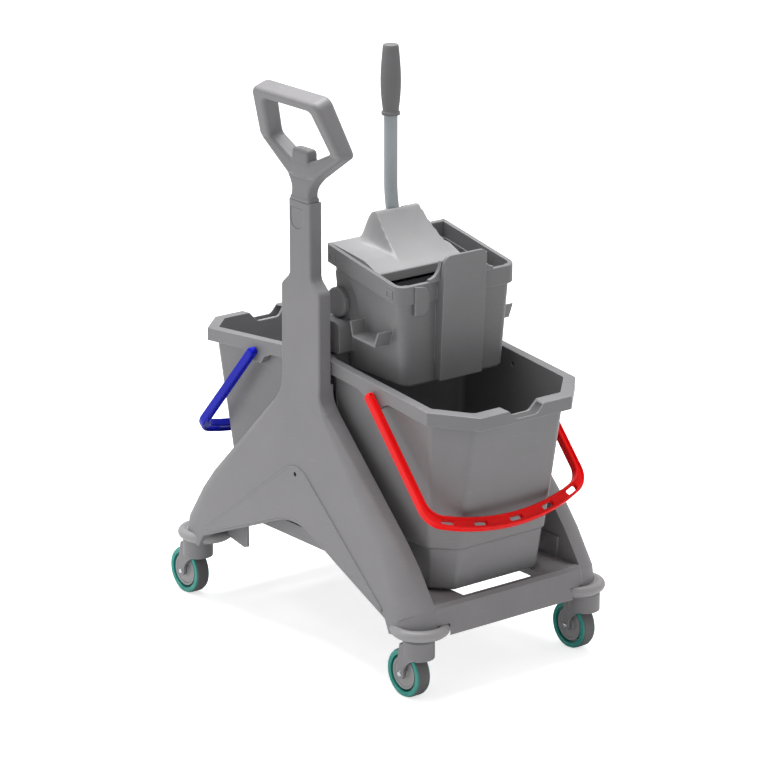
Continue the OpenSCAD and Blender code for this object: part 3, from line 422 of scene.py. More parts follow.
def filleted_outline(corners):
    """Rounded outline whose points carry the fillets of the edges after and before them."""
    points = []
    for i, (x, z, radius, mark) in enumerate(corners):
        arc = rounded_corner(corners[i - 1], corners[i], corners[(i + 1) % len(corners)], radius,
                             CORNER_STEPS)
        if radius > 0:
            points += [(px, pz, fillet_at(pz, mark), fillet_at(pz, mark)) for px, pz in arc]
        else:
            points.append((x, z, fillet_at(z, mark), fillet_at(z, corners[i - 1][3])))
    return points


def face_at(z):
    """Outer face of the near panel at a height."""
    return -FACE_Y - FACE_SLOPE * max(0.0, CROTCH_Z - z)


def hole_loop(work, outline, plane):
    """Ring of a hole in the outer face, where plane gives y from z."""
    return loop_of(work, [(x, plane(z), z) for x, z in outline])


def lock_outline():
    """Outline of the sliding lock of the push handle: flat on top and rounded below."""
    centre_x, centre_z, radius, top = -6, MAST_TOP - 31, 16.5, MAST_TOP - 12
    low = [(centre_x + radius * math.cos(math.pi * (1 + i / 20)),
            centre_z + radius * math.sin(math.pi * (1 + i / 20))) for i in range(21)]
    return [(centre_x + radius, top), (centre_x - radius, top)] + low


def sunk(work, loop, depth):
    """Walls and floor of a recess that starts at a ring and goes in along Y."""
    deep = [work.verts.new(v.co + Vector((0, depth * MM, 0))) for v in loop]
    strip(work, loop, deep)
    work.faces.new(deep)


def panel_mesh(corners, column):
    """A panel with deep fillets round its legs; the near one carries the column."""
    outline = filleted_outline(corners)
    count = len(outline)
    work = bmesh.new()
    rings = []
    for k in range(FILLET_STEPS + 1):
        a = math.radians(90 * k / FILLET_STEPS)
        ring = []
        for i, (x, z, after, before) in enumerate(outline):
            px, pz = moved_in(outline[i - 1], (x, z), outline[(i + 1) % count],
                              before * (1 - math.cos(a)), after * (1 - math.cos(a)))
            ring.append((px, face_at(pz) + max(before, after) * (1 - math.sin(a)), pz))
        rings.append(loop_of(work, ring))
    skin(work, rings)
    front = rings[-1]
    back = loop_of(work, [(x, -COLUMN_IN if column and z >= CROTCH_Z else -PANEL_IN, z)
                          for x, z, after, before in outline])
    fold = [i for i, point in enumerate(outline) if column and point[1] == CROTCH_Z]
    low_back = {i: work.verts.new(mm(outline[i][0], -PANEL_IN, CROTCH_Z)) for i in fold}
    for i in range(count):
        j = (i + 1) % count
        leg_edge = outline[i][1] <= CROTCH_Z and outline[j][1] <= CROTCH_Z
        below = [low_back[k] for k in (j, i) if leg_edge and k in low_back]
        work.faces.new([rings[0][i], rings[0][j], back[j]] + below + [back[i]])
    out = Vector((0, -1, 0))
    if column:
        a, b = fold
        lock = hole_loop(work, lock_outline(), lambda z: -FACE_Y)
        hole = hole_loop(work, circle(*FACE_HOLE), face_at)
        cap(work, [front[a:b + 1], lock], out)
        cap(work, [front[b:] + front[:a + 1], hole], out)
        sunk(work, lock, LOCK_DEPTH)
        sunk(work, hole, HOLE_DEPTH)
        cap(work, [back[a:b + 1]], -out)
        legs_back = [low_back[b]] + back[b + 1:] + back[:a] + [low_back[a]]
        cap(work, [legs_back], -out)
        work.faces.new([back[a], back[b], low_back[b], low_back[a]])
    else:
        cap(work, [front], out)
        cap(work, [back], -out)
    return closed_mesh(work)


def facing_mesh(holed):
    """Raised triangle between the legs, a thin plate with a softly rounded edge."""
    band, peak_z, thick, bead_radius, bead_foot = 5, 325, 1.6, 1.5, 0.8
    tip = ARCH_FOOT_X - 8
    low = ARCH_Z - (ARCH_Z - ARCH_FOOT_Z) / ARCH_FOOT_X * tip + band
    outline = rounded([(0, ARCH_Z + band, ARCH_RADIUS), (tip, low, 3), (tip + 3, low + 6, 3), (0, peak_z, 50),
                       (-tip - 3, low + 6, 3), (-tip, low, 3)], 8)
    bead = [(bead_radius * (1 - math.cos(a)), bead_foot + bead_radius * math.sin(a))
            for a in (math.radians(36 * k) for k in range(5))]
    work = bmesh.new()
    rings = [loop_of(work, [(x, face_at(z) - height, z) for x, z in inset_by(outline, inset)])
             for inset, height in [(0, -1)] + bead + [(3.4, 1.7), (4.2, thick)]]
    skin(work, rings)
    front, back = [rings[-1]], [rings[0]]
    if holed:
        front.append(hole_loop(work, circle(*FACE_HOLE), lambda z: face_at(z) - thick))
        back.append(hole_loop(work, circle(*FACE_HOLE), lambda z: face_at(z) + 1))
        strip(work, front[1], back[1])
    cap(work, front, Vector((0, -1, 0)))
    cap(work, back, Vector((0, 1, 0)))
    return closed_mesh(work)


def turned_over(work):
    """The same mesh for the far side."""
    work.transform(Matrix.Scale(-1.0, 4, Vector((0, 1, 0))))
    bmesh.ops.reverse_faces(work, faces=work.faces)
    return work


WHOLE = both_halves(ARCH_HALF + LEG_HALF + MAST_HALF)
LEGS = both_halves(ARCH_HALF + LEG_HALF + [(COLUMN_HALF, CROTCH_Z, 0, SHARP)])
finished_piece("near_side_panel", panel_mesh(WHOLE, True), "frame_plastic", "frame", ["near_panel"], sharp=48)
finished_piece("far_side_panel", turned_over(panel_mesh(LEGS, False)), "frame_plastic", "frame", ["far_panel"],
               sharp=48)
finished_piece("near_raised_triangle", facing_mesh(True), "frame_plastic", "frame", ["near_facing"], sharp=48)
finished_piece("far_raised_triangle", turned_over(facing_mesh(False)), "frame_plastic", "frame", ["far_facing"],
               sharp=48)


# Lever tube

TUBE_RADIUS = 11


def swept(points, radius, sides=28):
    """A round bar along a path given in millimetres, closed at both ends."""
    work = bmesh.new()
    path = [mm(*p) for p in points]
    rings = []
    for i, centre in enumerate(path):
        ahead = (path[min(i + 1, len(path) - 1)] - path[max(i - 1, 0)]).normalized()
        side = ahead.cross(Vector((0, 1, 0))).normalized()
        up = side.cross(ahead)
        rings.append([work.verts.new(centre + (side * math.cos(t) + up * math.sin(t)) * radius * MM)
                      for t in (2 * math.pi * k / sides for k in range(sides))])
    skin(work, rings, ends=True)
    return closed_mesh(work)


def lever_path():
    """Centre line of the lever tube: it leans forward below a bend of large radius."""
    shaft_z, boss_radius, overlap = 578, 22, 2
    tube_x, bend_z, top, lean, radius = 8, 744.0, 967.0, math.radians(8), 170.0
    low = (bend_z - shaft_z - boss_radius - overlap) / math.cos(lean)
    centre = (tube_x + radius, bend_z + radius * math.tan(lean / 2))
    path = [(tube_x + low * math.sin(lean), bend_z - low * math.cos(lean))]
    path += [(centre[0] - radius * math.cos(a), centre[1] - radius * math.sin(a))
             for a in (lean * (1 - k / 8) for k in range(9))]
    return [(x, 0, z) for x, z in path + [(tube_x, top)]]


finished_piece("bent_lever_tube", swept(lever_path(), TUBE_RADIUS), "tube_steel", "lever",
               ["lever_tube", "lever_neck"])


# Push handle: one smooth ring with a neck that flows into it

RING_Z, RING_LOW, RING_LEAN = 789.0, 50.0, math.radians(19.5)
RING_FRONT, RING_HALF, RING_EDGE, RING_BEND = 177, 16, 8, 30


def bent(x, y, z):
    """A point of the ring, which leans forward above its widest place."""
    rise = max(0.0, z - RING_LOW)
    return (x, y - rise * math.sin(RING_LEAN) - RING_FRONT + RING_HALF,
            z - rise * (1 - math.cos(RING_LEAN)) + y * math.sin(RING_LEAN) * min(1.0, rise / RING_BEND) + RING_Z)


def ring_mesh():
    """Closed bent bar between an outer and an inner outline, with well rounded edges."""
    outer = rounded([(33, 0, 12), (106, 50, 12), (85, 148, 15),
                     (-85, 148, 15), (-106, 50, 12), (-33, 0, 12)], 7)
    inner = rounded([(23, 29, 9), (79, 54.5, 10), (60, 130, 11),
                     (-60, 130, 11), (-79, 54.5, 10), (-23, 29, 9)], 7)
    work = bmesh.new()
    hoops = []
    for o, q in zip(outer, inner):
        width = math.hypot(o[0] - q[0], o[1] - q[1])
        d = unit(q, o)
        box = rounded([(0, -RING_HALF, RING_EDGE), (width, -RING_HALF, RING_EDGE),
                       (width, RING_HALF, RING_EDGE), (0, RING_HALF, RING_EDGE)], 5)
        hoops.append(loop_of(work, [bent(q[0] + d[0] * w, depth, q[1] + d[1] * w) for w, depth in box]))
    skin(work, hoops, around=True)
    return work


def stacked(work, levels, steps=5):
    """Closed stack of rounded rectangles (z, half width, y front, y back, corner radius)."""
    rings = []
    for z, half, front, back, radius in levels:
        box = rounded([(-half, front, radius), (half, front, radius),
                       (half, back, radius), (-half, back, radius)], steps)
        rings.append(loop_of(work, [(x, y, z) for x, y in box]))
    skin(work, rings, ends=True)


NECK = [(752, 25, -178, -155, 4), (756.4, 25, -178, -155, 4), (758, 24.2, -177.4, -155.4, 4),
        (758.4, 23.2, -176.8, -156, 4), (764, 22.8, -176.6, -156, 4), (770, 23, -176.4, -155, 4.5),
        (776, 24.6, -176.4, -153, 5), (782, 28.4, -176.2, -150.6, 6), (788, 34, -175.6, -148.8, 7),
        (794, 40, -175, -148, 8), (800, 46, -174, -148.4, 8), (804, 49, -172, -150, 7)]
TONGUE = [(790, 20.5, -176.8, -155.6, 4), (828, 20.5, -176.8, -155.6, 4), (832.6, 20, -176.2, -156.2, 4),
          (835.2, 18.4, -174.6, -157.8, 3.6), (836.4, 15.6, -172, -160.4, 3)]


def push_handle_mesh():
    """The ring, its flaring neck, and the tongue that stands up inside the ring."""
    work = ring_mesh()
    stacked(work, NECK)
    stacked(work, TONGUE)
    return closed_mesh(work)


finished_piece("smooth_push_handle", push_handle_mesh(), "frame_plastic", "frame", ["push_handle"], sharp=50)


# Cover of the wringer: a height field whose hood flares out into the deck

COVER_WALL, COVER_FRONT, COVER_SIDE = 2.6, 120, 112.5
DECK_BACK, DECK_TOP, APRON_X, APRON_TOP, APRON_DROP = -4, 672, 84, 661, 15
HOOD_BACK, HOOD_TOP, HOOD_FOOT, CREST_X, BROW_X = -12, 717, 660, 22, 27
HOOD_FRONT_CURVE = (716.2, 662, 646)
HOOD_HALF, HOOD_FLARE, FLANK_FOOT, FLANK_SPREAD, FLANK_CURVE, FAR_FLANK = 44, 0.16, 5, 0.5, 2.4, 2.6
BACK_CURVE, CREST_CURVE, BROW_CURVE = 0.22, 0.8, 0.12
RECESS_Y, RECESS_END_X, RECESS_DEPTH = 61, 116, 33
LEVER_GAP_Y, LEVER_GAP_X = 15.5, 23.4


def deck_height(x):
    """Top of the deck and of the sloping apron in front of it."""
    if x < DECK_BACK:
        return DECK_TOP - (x - DECK_BACK) ** 2 * BACK_CURVE
    if x < APRON_X:
        return DECK_TOP - (x - DECK_BACK) / (APRON_X - DECK_BACK) * (DECK_TOP - APRON_TOP)
    return APRON_TOP - (x - APRON_X) / (COVER_FRONT - APRON_X) * APRON_DROP


def hood_height(x):
    """Ridge line of the hood from its convex back over the ridge to the foot of its front."""
    if x < HOOD_BACK:
        return 0.0
    if x < CREST_X:
        share = (x - HOOD_BACK) / (CREST_X - HOOD_BACK)
        return HOOD_FOOT + (HOOD_TOP - HOOD_FOOT) * math.sin(math.pi / 2 * share) ** CREST_CURVE
    if x < BROW_X:
        return HOOD_TOP - (x - (CREST_X + BROW_X) / 2) ** 2 * BROW_CURVE
    share = min(1.0, (x - BROW_X) / (COVER_FRONT - BROW_X))
    top, middle, foot = HOOD_FRONT_CURVE
    return (1 - share) ** 2 * top + 2 * share * (1 - share) * middle + share * share * foot


def cover_height(x, y):
    """Top of the cover: the deck with its far recess, or the flank of the hood where that is higher."""
    level = deck_height(x)
    deck = level
    if y > RECESS_Y and x < RECESS_END_X:
        deck -= min(1.0, (y - RECESS_Y) / 1.5) * RECESS_DEPTH
    rise = hood_height(x) - level
    if rise <= 0.0:
        return deck
    half_width = HOOD_HALF + max(0.0, x - BROW_X) * HOOD_FLARE
    over = max(0.0, abs(y) - half_width) / (FLANK_FOOT + FLANK_SPREAD * rise)
    if y > 0:
        over *= FAR_FLANK
    share = max(0.0, 1 - over) ** FLANK_CURVE
    return max(deck, level + rise * share) if share > 0 else deck


def between(first, last, step):
    """Even values from first to last, about a step apart."""
    count = max(1, round((last - first) / step))
    return [first + (last - first) * i / count for i in range(count + 1)]


def cover_mesh():
    """Sheet over the deck and the hood, open behind the hood where the lever passes."""
    front_lip, deep_skirt, skirt, skirt_turn_x, lip_start = 13, 28, 8, 4, 118
    xs = between(-8, -2.2, 1.45) + between(0, 22, 2) + [LEVER_GAP_X] + between(25, lip_start, 2.4)
    xs += [119.2, COVER_FRONT]
    ys = between(-COVER_SIDE, -60, 4) + between(-58, -LEVER_GAP_Y, 2.1) + between(-13, 13, 2.6)
    ys += between(LEVER_GAP_Y, 58, 2.1) + [60, RECESS_Y, 61.8, 62.6, 64] + between(68, 109.2, 5)
    work = bmesh.new()
    top = {}
    for i, x in enumerate(xs):
        for j, y in enumerate(ys):
            top[i, j] = work.verts.new(mm(x, y, cover_height(x, y) - max(0, x - lip_start) ** 2 * 0.4))
    for i in range(len(xs) - 1):
        for j in range(len(ys) - 1):
            mid_x, mid_y = (xs[i] + xs[i + 1]) / 2, (ys[j] + ys[j + 1]) / 2
            if abs(mid_y) < LEVER_GAP_Y and mid_x < LEVER_GAP_X:
                continue
            work.faces.new((top[i, j], top[i + 1, j], top[i + 1, j + 1], top[i, j + 1]))
    bmesh.ops.delete(work, geom=[v for v in work.verts if not v.link_faces], context="VERTS")
    front = [top[len(xs) - 1, j] for j in range(len(ys))]
    drop = [work.verts.new(v.co - mm(0, 0, front_lip)) for v in front]
    for j in range(len(ys) - 1):
        work.faces.new((front[j], drop[j], drop[j + 1], front[j + 1]))
    near = [top[i, 0] for i in range(len(xs)) if top[i, 0].is_valid]
    back = [top[0, j] for j in range(len(ys)) if top[0, j].is_valid]
    for run in (near, back):
        low = [work.verts.new(v.co - mm(0, 0, deep_skirt if v.co.x < skirt_turn_x * MM else skirt))
               for v in run]
        for i in range(len(run) - 1):
            if (run[i].co - run[i + 1].co).length < LEVER_GAP_Y * MM:
                work.faces.new((run[i], low[i], low[i + 1], run[i + 1]))
    bmesh.ops.delete(work, geom=[v for v in work.verts if not v.link_faces], context="VERTS")
    bmesh.ops.remove_doubles(work, verts=work.verts, dist=0.00001)
    bmesh.ops.recalc_face_normals(work, faces=work.faces)
    if sum(f.normal.z for f in work.faces) < 0:
        bmesh.ops.reverse_faces(work, faces=work.faces)
    work.normal_update()
    return work


def thickened(work, thickness):
    """A sheet turned into a closed shell that grows inwards from its outer face."""
    inner = {v: work.verts.new(v.co - v.normal * thickness * MM) for v in list(work.verts)}
    rims = [e for e in work.edges if len(e.link_faces) == 1]
    faces = list(work.faces)
    for face in faces:
        work.faces.new([inner[v] for v in reversed(face.verts)])
    for edge in rims:
        a, b = edge.verts
        work.faces.new((a, b, inner[b], inner[a]))
    bmesh.ops.recalc_face_normals(work, faces=work.faces)
    return work


finished_piece("hooded_cover", thickened(cover_mesh(), COVER_WALL), "light_plastic", "wringer",
               ["wringer_cover"], sharp=46)


# Small moulded details of the wringer

RIM_SLOPE, RIM_FRONT_X, RIM_FRONT_Z = 0.19, 181, 637.6


def guard_web_mesh():
    """Concave webs where the splash guard grows out of the rim."""
    inner_y, outer_y, foot_z, top_z = 42, 65, 645, 671
    sunk_y, sunk_z, front_x, back_x = 40, 640, 188.6, 182.5
    work = bmesh.new()
    for side in (-1, 1):
        curve = [(side * (inner_y + (outer_y - inner_y) * (1 - math.sin(a))),
                  foot_z + (top_z - foot_z) * (1 - math.cos(a)))
                 for a in (math.radians(9 * k) for k in range(11))]
        outline = curve + [(side * sunk_y, top_z), (side * sunk_y, sunk_z), (side * outer_y, sunk_z)]
        skin(work, [loop_of(work, [(x, y, z) for y, z in outline]) for x in (front_x, back_x)], ends=True)
    return closed_mesh(work)


def pad_mesh():
    """Flat pad on the front wall, straight on one side and rounded on the other."""
    foot = rounded([(-89.3, 588.5, 1), (-64, 588.5, 14), (-59.5, 610, 10),
                    (-64, 632.5, 14), (-89.3, 636.4, 1)], 5)
    face = rounded([(-88.5, 589.3, 1), (-64.6, 589.3, 13), (-60.3, 610, 9),
                    (-64.6, 631.7, 13), (-88.5, 635.5, 1)], 5)
    work = bmesh.new()
    skin(work, [loop_of(work, [(x, y, z) for y, z in outline])
                for x, outline in ((179, foot), (183.4, foot), (184.2, face))], ends=True)
    return closed_mesh(work)


def square_frames_mesh():
    """Small raised square frames on the band at both sides of the wringer."""
    half, squash = 6.2, 0.85
    section = ((120.6, 1.5), (121.7, 1.5), (121.9, 1.2), (121.9, -0.2), (121.7, -0.5), (120.6, -0.5))
    work = bmesh.new()
    for side in (-1, 1):
        for x, z in ((10.5, 651), (157.3, 625)):
            loops = []
            for y, grow in section:
                r = half + grow
                loops.append(loop_of(work, [(x + r * u, side * y, z + r * squash * w - r * RIM_SLOPE * u)
                                            for u, w in ((-1, 1), (1, 1), (1, -1), (-1, -1))]))
            skin(work, loops, around=True)
    return closed_mesh(work)


finished_piece("guard_webs", guard_web_mesh(), "bucket_plastic", "wringer", sharp=40)
finished_piece("front_pad", pad_mesh(), "bucket_plastic", "wringer", sharp=40)
finished_piece("square_frames", square_frames_mesh(), "bucket_plastic", "wringer", sharp=30)


# Wheels: the teal face ring reaches out to the tread

CASTOR_X, CASTOR_Y, TRAIL, AXLE_Z = 298, 172, 25, 40
AXLES = {end + "_" + row: (sx * CASTOR_X - TRAIL, sy * CASTOR_Y, AXLE_Z)
         for end, sx in (("front", 1), ("back", -1)) for row, sy in (("near", -1), ("far", 1))}


def turned(profile, cx, cy, cz, count=72):
    """A body turned about the axle from a closed profile of (radius, offset along the axle)."""
    work = bmesh.new()
    skin(work, [loop_of(work, [(x, cy + along, z) for x, z in circle(cx, cz, radius, count)])
                for radius, along in profile], around=True)
    return closed_mesh(work)


RING_PROFILE = [(30.4, -11.2), (31, -12.6), (32, -12.9), (33, -12.2), (33.6, -12.2), (34.6, -13), (37.2, -12.9),
                (38.4, -12.2), (38.8, -11), (38.8, 11), (38.4, 12.2), (37.2, 12.9), (34.6, 13), (33.6, 12.2),
                (33, 12.2), (32, 12.9), (31, 12.6), (30.4, 11.2)]
TYRE_PROFILE = [(37.6, -10.6), (39.2, -10.3), (39.8, -9.2), (40, -7.6), (40, 7.6), (39.8, 9.2), (39.2, 10.3),
                (37.6, 10.6)]
for corner, axle in AXLES.items():
    finished_piece("face_ring_" + corner, turned(RING_PROFILE, *axle), "teal_plastic", "wheel_" + corner,
                   ["ring_" + corner], sharp=50)
    finished_piece("tread_" + corner, turned(TYRE_PROFILE, *axle), "tread_rubber", "wheel_" + corner,
                   ["tyre_" + corner], sharp=50)


# Far back corner of the rim, which closes the band beside the recessed deck

def back_corner_mesh():
    """A block whose top follows the slope of the rim, with rounded top edges."""
    foot_z = 644
    outline = rounded([(3.2, 121, 0), (-5, 121, 6), (-5, 60, 2), (3.2, 60, 0)], 6)
    work = bmesh.new()
    rings = [loop_of(work, [(x, y, foot_z) for x, y in inset_by(outline, 0)])]
    for inset, drop in ((0, 1.6), (0.5, 0.5), (1.6, 0)):
        rings.append(loop_of(work, [(x, y, RIM_FRONT_Z + RIM_SLOPE * (RIM_FRONT_X - x) - drop)
                                    for x, y in inset_by(outline, inset)]))
    skin(work, rings, ends=True)
    return closed_mesh(work)


finished_piece("back_corner_of_rim", back_corner_mesh(), "bucket_plastic", "wringer", sharp=50)


# Bails: I-shaped section with slots through the grip

BAIL_TURN = math.radians(48)
PIVOT_X, PIVOT_Z, PIN_RADIUS, PIN_IN, PIN_OUT = 157, 461, 4, 142, 160
ARM_OUT, ARM_IN, GRIP_OUT, GRIP_IN = 165, 152, 263, 242
WEB_HALF, FLANGE_FOOT, FLANGE_RADIUS, HEEL_RADIUS = 4.2, 5.1, 2.4, 9.2
BOW_WIDTH = 780
SLOT_PLACES = (-127, -69, 0, 69, 127)


def bow(y, reach):
    """How far the bowed grip reaches out at a place along it."""
    return reach - y * y / BOW_WIDTH


def arm_to_arm(half, reach, heel, elbow):
    """Corners from the heel of one arm along the grip to the heel of the other arm."""
    grip = [(bow(y, reach), y, 0) for y in range(-110, 111, 22)]
    return [(-9, -half, heel), (bow(half, reach), -half, elbow)] + grip + [
        (bow(half, reach), half, elbow), (-9, half, heel)]


def bail_mesh(side):
    """One bail, hung at its pivot; side 1 is the front bucket's and -1 the back bucket's."""
    def at(x, y, z):
        """Place of a point of the bail; its section gets thinner round the heel."""
        if x < 0:
            z *= math.sqrt(max(0.02, 1 - (x / HEEL_RADIUS) ** 2))
        return (side * (PIVOT_X + x * math.cos(BAIL_TURN) + z * math.sin(BAIL_TURN)), y,
                PIVOT_Z - x * math.sin(BAIL_TURN) + z * math.cos(BAIL_TURN))
    outer, inner = arm_to_arm(ARM_OUT, GRIP_OUT, 7, 42), arm_to_arm(ARM_IN, GRIP_IN, 4.6, 30)
    outline = rounded(outer + inner[::-1], 8)
    upper = [(FLANGE_RADIUS * (1 - math.cos(a)), FLANGE_FOOT + FLANGE_RADIUS * math.sin(a))
             for a in (math.radians(18 * k) for k in range(6))]
    upper += [(3.1, 7.5), (3.6, 7.0), (4.3, WEB_HALF)]
    work = bmesh.new()
    rings = [loop_of(work, [at(x, y, z) for x, y in inset_by(outline, inset)])
             for inset, z in [(i, -h) for i, h in reversed(upper)] + upper]
    skin(work, rings)
    low, high = [rings[0]], [rings[-1]]
    for y in SLOT_PLACES:
        a = math.atan(2 * y / BOW_WIDTH)
        box = rounded([(-4.2, -13, 3), (4.2, -13, 3), (4.2, 13, 3), (-4.2, 13, 3)], 4)
        slot = [(bow(y, (GRIP_OUT + GRIP_IN) / 2) + u * math.cos(a) - v * math.sin(a),
                 y + u * math.sin(a) + v * math.cos(a)) for u, v in box]
        low.append(loop_of(work, [at(p, q, -WEB_HALF) for p, q in slot]))
        high.append(loop_of(work, [at(p, q, WEB_HALF) for p, q in slot]))
        strip(work, low[-1], high[-1])
    out = Vector((side * math.sin(BAIL_TURN), 0, math.cos(BAIL_TURN)))
    cap(work, high, out)
    cap(work, low, -out)
    for end in (-1, 1):
        pin = circle(PIVOT_X, PIVOT_Z, PIN_RADIUS, 24)
        skin(work, [loop_of(work, [(side * x, end * y, z) for x, z in pin])
                    for y in (PIN_IN, PIN_OUT)], ends=True)
    return closed_mesh(work)


finished_piece("red_swing_bail", bail_mesh(1), "red_plastic", "red_bail", ["red_bail"], sharp=40)
finished_piece("blue_swing_bail", bail_mesh(-1), "blue_plastic", "blue_bail", ["blue_bail"], sharp=40)


# Buffer lips round the castor mounts: a thick roll over a flange

LIP_X, LIP_Y, ROLL_OUT, ROLL_Z, ROLL_RADIUS = 288, 162, 39.2, 115.3, 8.6


def lathed(work, profile, cx, cy, count=72):
    """Upright closed body turned from (radius, height) points, capped at both ends."""
    skin(work, [loop_of(work, [(x, y, z) for x, y in circle(cx, cy, radius, count)])
                for radius, z in profile], ends=True)


ROLL = [(ROLL_OUT + ROLL_RADIUS * math.cos(math.radians(a)),
         ROLL_Z + ROLL_RADIUS * math.sin(math.radians(a))) for a in range(-70, 131, 10)]
LIP_PROFILE = [(26, 105.1), (38, 105.1), (40.4, 105.5), (41.6, 106.3)] + ROLL + [(32.4, 121.2), (26, 121.2)]
lips = bmesh.new()
for sx in (1, -1):
    for sy in (-1, 1):
        lathed(lips, LIP_PROFILE, sx * LIP_X, sy * LIP_Y)
finished_piece("rolled_lips", closed_mesh(lips), "light_plastic", "frame", ["castor_lips"], sharp=50)


# Rivet heads of the axles: a repeat along a line, made with Geometry Nodes

HEAD_SIZES = {"Head Radius": 0.0046, "Span": 0.0384, "Head Height": 0.55}


def rivet_tree():
    """Domed heads set along a line in Y, with named sizes."""
    tree = bpy.data.node_groups.new("rivet_heads", "GeometryNodeTree")
    for label, value in HEAD_SIZES.items():
        tree.interface.new_socket(label, in_out="INPUT", socket_type="NodeSocketFloat").default_value = value
    tree.interface.new_socket("Finish", in_out="INPUT", socket_type="NodeSocketMaterial")
    tree.interface.new_socket("Geometry", in_out="OUTPUT", socket_type="NodeSocketGeometry")
    into, out = tree.nodes.new("NodeGroupInput"), tree.nodes.new("NodeGroupOutput")
    half = node_of(tree, "ShaderNodeMath", {"operation": "MULTIPLY", 1: -0.5}, {0: into.outputs["Span"]})
    start = node_of(tree, "ShaderNodeCombineXYZ", {}, {"Y": half.outputs[0]})
    step = node_of(tree, "ShaderNodeCombineXYZ", {}, {"Y": into.outputs["Span"]})
    line = node_of(tree, "GeometryNodeMeshLine", {"mode": "OFFSET", "Count": 2},
                   {"Start Location": start.outputs[0], "Offset": step.outputs[0]})
    dome = node_of(tree, "GeometryNodeMeshUVSphere", {"Segments": 28, "Rings": 14},
                   {"Radius": into.outputs["Head Radius"]})
    flat = node_of(tree, "ShaderNodeCombineXYZ", {"X": 1.0, "Z": 1.0}, {"Y": into.outputs["Head Height"]})
    heads = node_of(tree, "GeometryNodeInstanceOnPoints", {},
                    {"Points": line.outputs[0], "Instance": dome.outputs[0], "Scale": flat.outputs[0]})
    real = node_of(tree, "GeometryNodeRealizeInstances", {}, {"Geometry": heads.outputs[0]})
    named = node_of(tree, "GeometryNodeSetMaterial", {},
                    {"Geometry": real.outputs[0], "Material": into.outputs["Finish"]})
    tree.links.new(named.outputs[0], out.inputs["Geometry"])
    return tree


def grown(tree, name, values):
    """Plain mesh made by a tree from named input values."""
    holder = added(name, bpy.data.meshes.new(name))
    modifier = holder.modifiers.new("grown", "NODES")
    modifier.node_group = tree
    for item in tree.interface.items_tree:
        if item.in_out == "INPUT" and item.name in values:
            modifier[item.identifier] = values[item.name]
    bpy.context.view_layer.update()
    result = bpy.data.meshes.new_from_object(holder.evaluated_get(bpy.context.evaluated_depsgraph_get()))
    work = bmesh.new()
    work.from_mesh(result)
    bpy.data.objects.remove(holder)
    bpy.data.meshes.remove(result)
    return work


RIVETS = rivet_tree()
for corner, axle in AXLES.items():
    heads = grown(RIVETS, "rivets_" + corner, {**HEAD_SIZES, "Finish": FINISHES["steel"]})
    heads.transform(Matrix.Translation(mm(*axle)))
    finished_piece("axle_heads_" + corner, heads, "steel", "castor_" + corner, ["bolt_" + corner], sharp=60)


# All other nodes: the CAD's own meshes with their edges eased by a width in millimetres

EASED = {
    "base_frame": 0,
    "wringer_bridge": 1.2, "handle_lock": 0.6, "handle_screws": 0.4,
    "red_bucket": 0.9, "blue_bucket": 0.9, "wringer_body": 1.2,
    "sieve_plate": 0.4, "lever_shaft": 0.6, "pivot_caps": 0.8, "lever_grip": 0.5,
    "press_plate": 0.7, "press_rod": 0.4,
}
for corner in AXLES:
    EASED.update({"fork_" + corner: 0.9, "hub_" + corner: 0.5})

for node, width in EASED.items():
    work = node_copy(node)
    if width > 0:
        eased(work, width * MM)
    finished_piece("fine_" + node, work, SLOT_OF[node], BODY_OF[node], [node])

for node, part in frame["nodes"].items():
    for index in range(len(part.material_slots)):
        part.material_slots[index].material = FINISHES[SLOT_OF[node]]


# Camera, floor and light

def camera():
    """The camera at the photograph's angle, fitted to it."""
    turn, tilt = math.radians(51.851), math.radians(17.598)
    distance, shift_right, shift_up = 6.328114, -0.005823, 0.013698
    data = bpy.data.cameras.new("camera")
    data.sensor_width = 36.0
    data.lens = 181.89
    data.clip_end = 100.0
    view = added("camera", data)
    right = Vector((math.cos(turn), math.sin(turn), 0.0))
    ground = Vector((-math.sin(turn), math.cos(turn), 0.0))
    forward = ground * math.cos(tilt) - Vector((0.0, 0.0, 1.0)) * math.sin(tilt)
    up = ground * math.sin(tilt) + Vector((0.0, 0.0, 1.0)) * math.cos(tilt)
    place = mm(0, 0, 400) - forward * distance + right * shift_right + up * shift_up
    view.matrix_world = Matrix.Translation(place) @ Matrix((right, up, -forward)).transposed().to_4x4()
    bpy.context.scene.camera = view


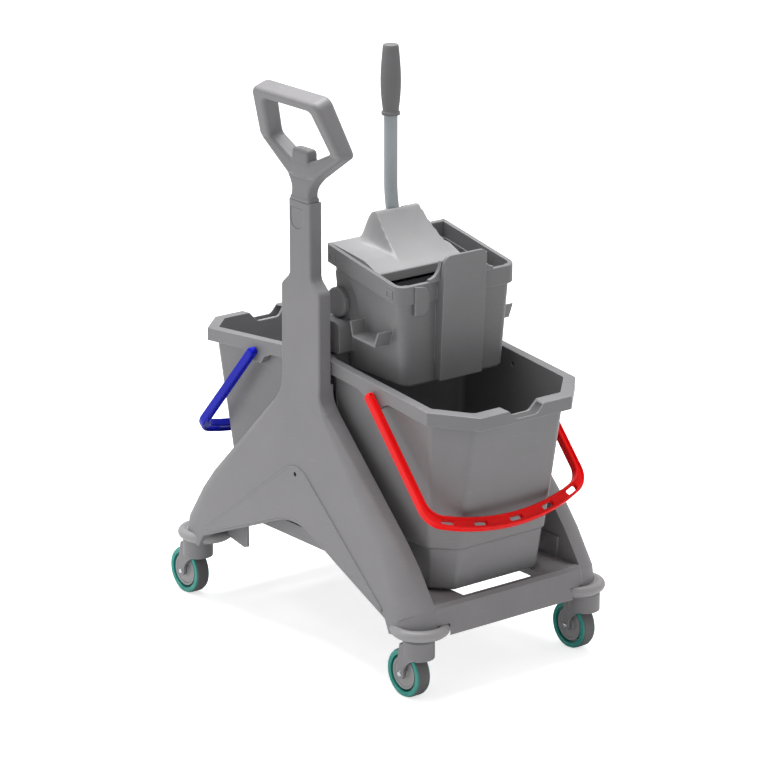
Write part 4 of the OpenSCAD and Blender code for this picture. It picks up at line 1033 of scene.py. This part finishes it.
def camera_sees(tree, output, plain, seen):
    """Gives an output one shader for the camera's rays and a plain one for all others."""
    path = tree.nodes.new("ShaderNodeLightPath")
    choice = tree.nodes.new("ShaderNodeMixShader")
    tree.links.new(path.outputs["Is Camera Ray"], choice.inputs[0])
    tree.links.new(plain.outputs[0], choice.inputs[1])
    tree.links.new(seen.outputs[0], choice.inputs[2])
    tree.links.new(choice.outputs[0], tree.nodes[output].inputs["Surface"])


def floor():
    """A plain pale floor that the camera sees white and that keeps the shadow."""
    work = bmesh.new()
    bmesh.ops.create_grid(work, x_segments=1, y_segments=1, size=30.0)
    mesh = bpy.data.meshes.new("floor")
    work.to_mesh(mesh)
    work.free()
    plane = added("floor", mesh)
    material = bpy.data.materials.new("pale_floor")
    material.use_nodes = True
    tree = material.node_tree
    shader = tree.nodes["Principled BSDF"]
    shader.inputs["Base Color"].default_value = (0.86, 0.86, 0.86, 1.0)
    shader.inputs["Roughness"].default_value = 0.95
    shader.inputs["Specular IOR Level"].default_value = 0.0
    glow = node_of(tree, "ShaderNodeEmission", {"Color": (1.0, 1.0, 1.0, 1.0), "Strength": 0.68})
    lit = node_of(tree, "ShaderNodeAddShader", {}, {0: shader.outputs[0], 1: glow.outputs[0]})
    camera_sees(tree, "Material Output", shader, lit)
    mesh.materials.append(material)


def world_light(strength):
    """Even white light, which the camera sees as plain white."""
    world = bpy.data.worlds.new("studio")
    bpy.context.scene.world = world
    world.use_nodes = True
    tree = world.node_tree
    soft = tree.nodes["Background"]
    soft.inputs["Color"].default_value = (1.0, 1.0, 1.0, 1.0)
    soft.inputs["Strength"].default_value = strength
    white = node_of(tree, "ShaderNodeBackground", {"Color": (1.0, 1.0, 1.0, 1.0), "Strength": 1.0})
    camera_sees(tree, "World Output", soft, white)


def lamp(name, place, aim, size, power):
    """A soft square lamp that faces a point."""
    data = bpy.data.lights.new(name, "AREA")
    data.shape = "SQUARE"
    data.size = size
    data.energy = power
    light = added(name, data)
    light.location = place
    light.rotation_euler = (Vector(aim) - Vector(place)).to_track_quat("-Z", "Y").to_euler()


bpy.context.scene.view_settings.view_transform = "Standard"
camera()
floor()
world_light(0.50)
lamp("overhead", (-0.65, 0.05, 4.1), (0.0, 0.0, 0.3), 2.8, 226.0)
lamp("near_side", (-2.0, -4.3, 1.6), (0.0, 0.0, 0.4), 2.4, 30.0)
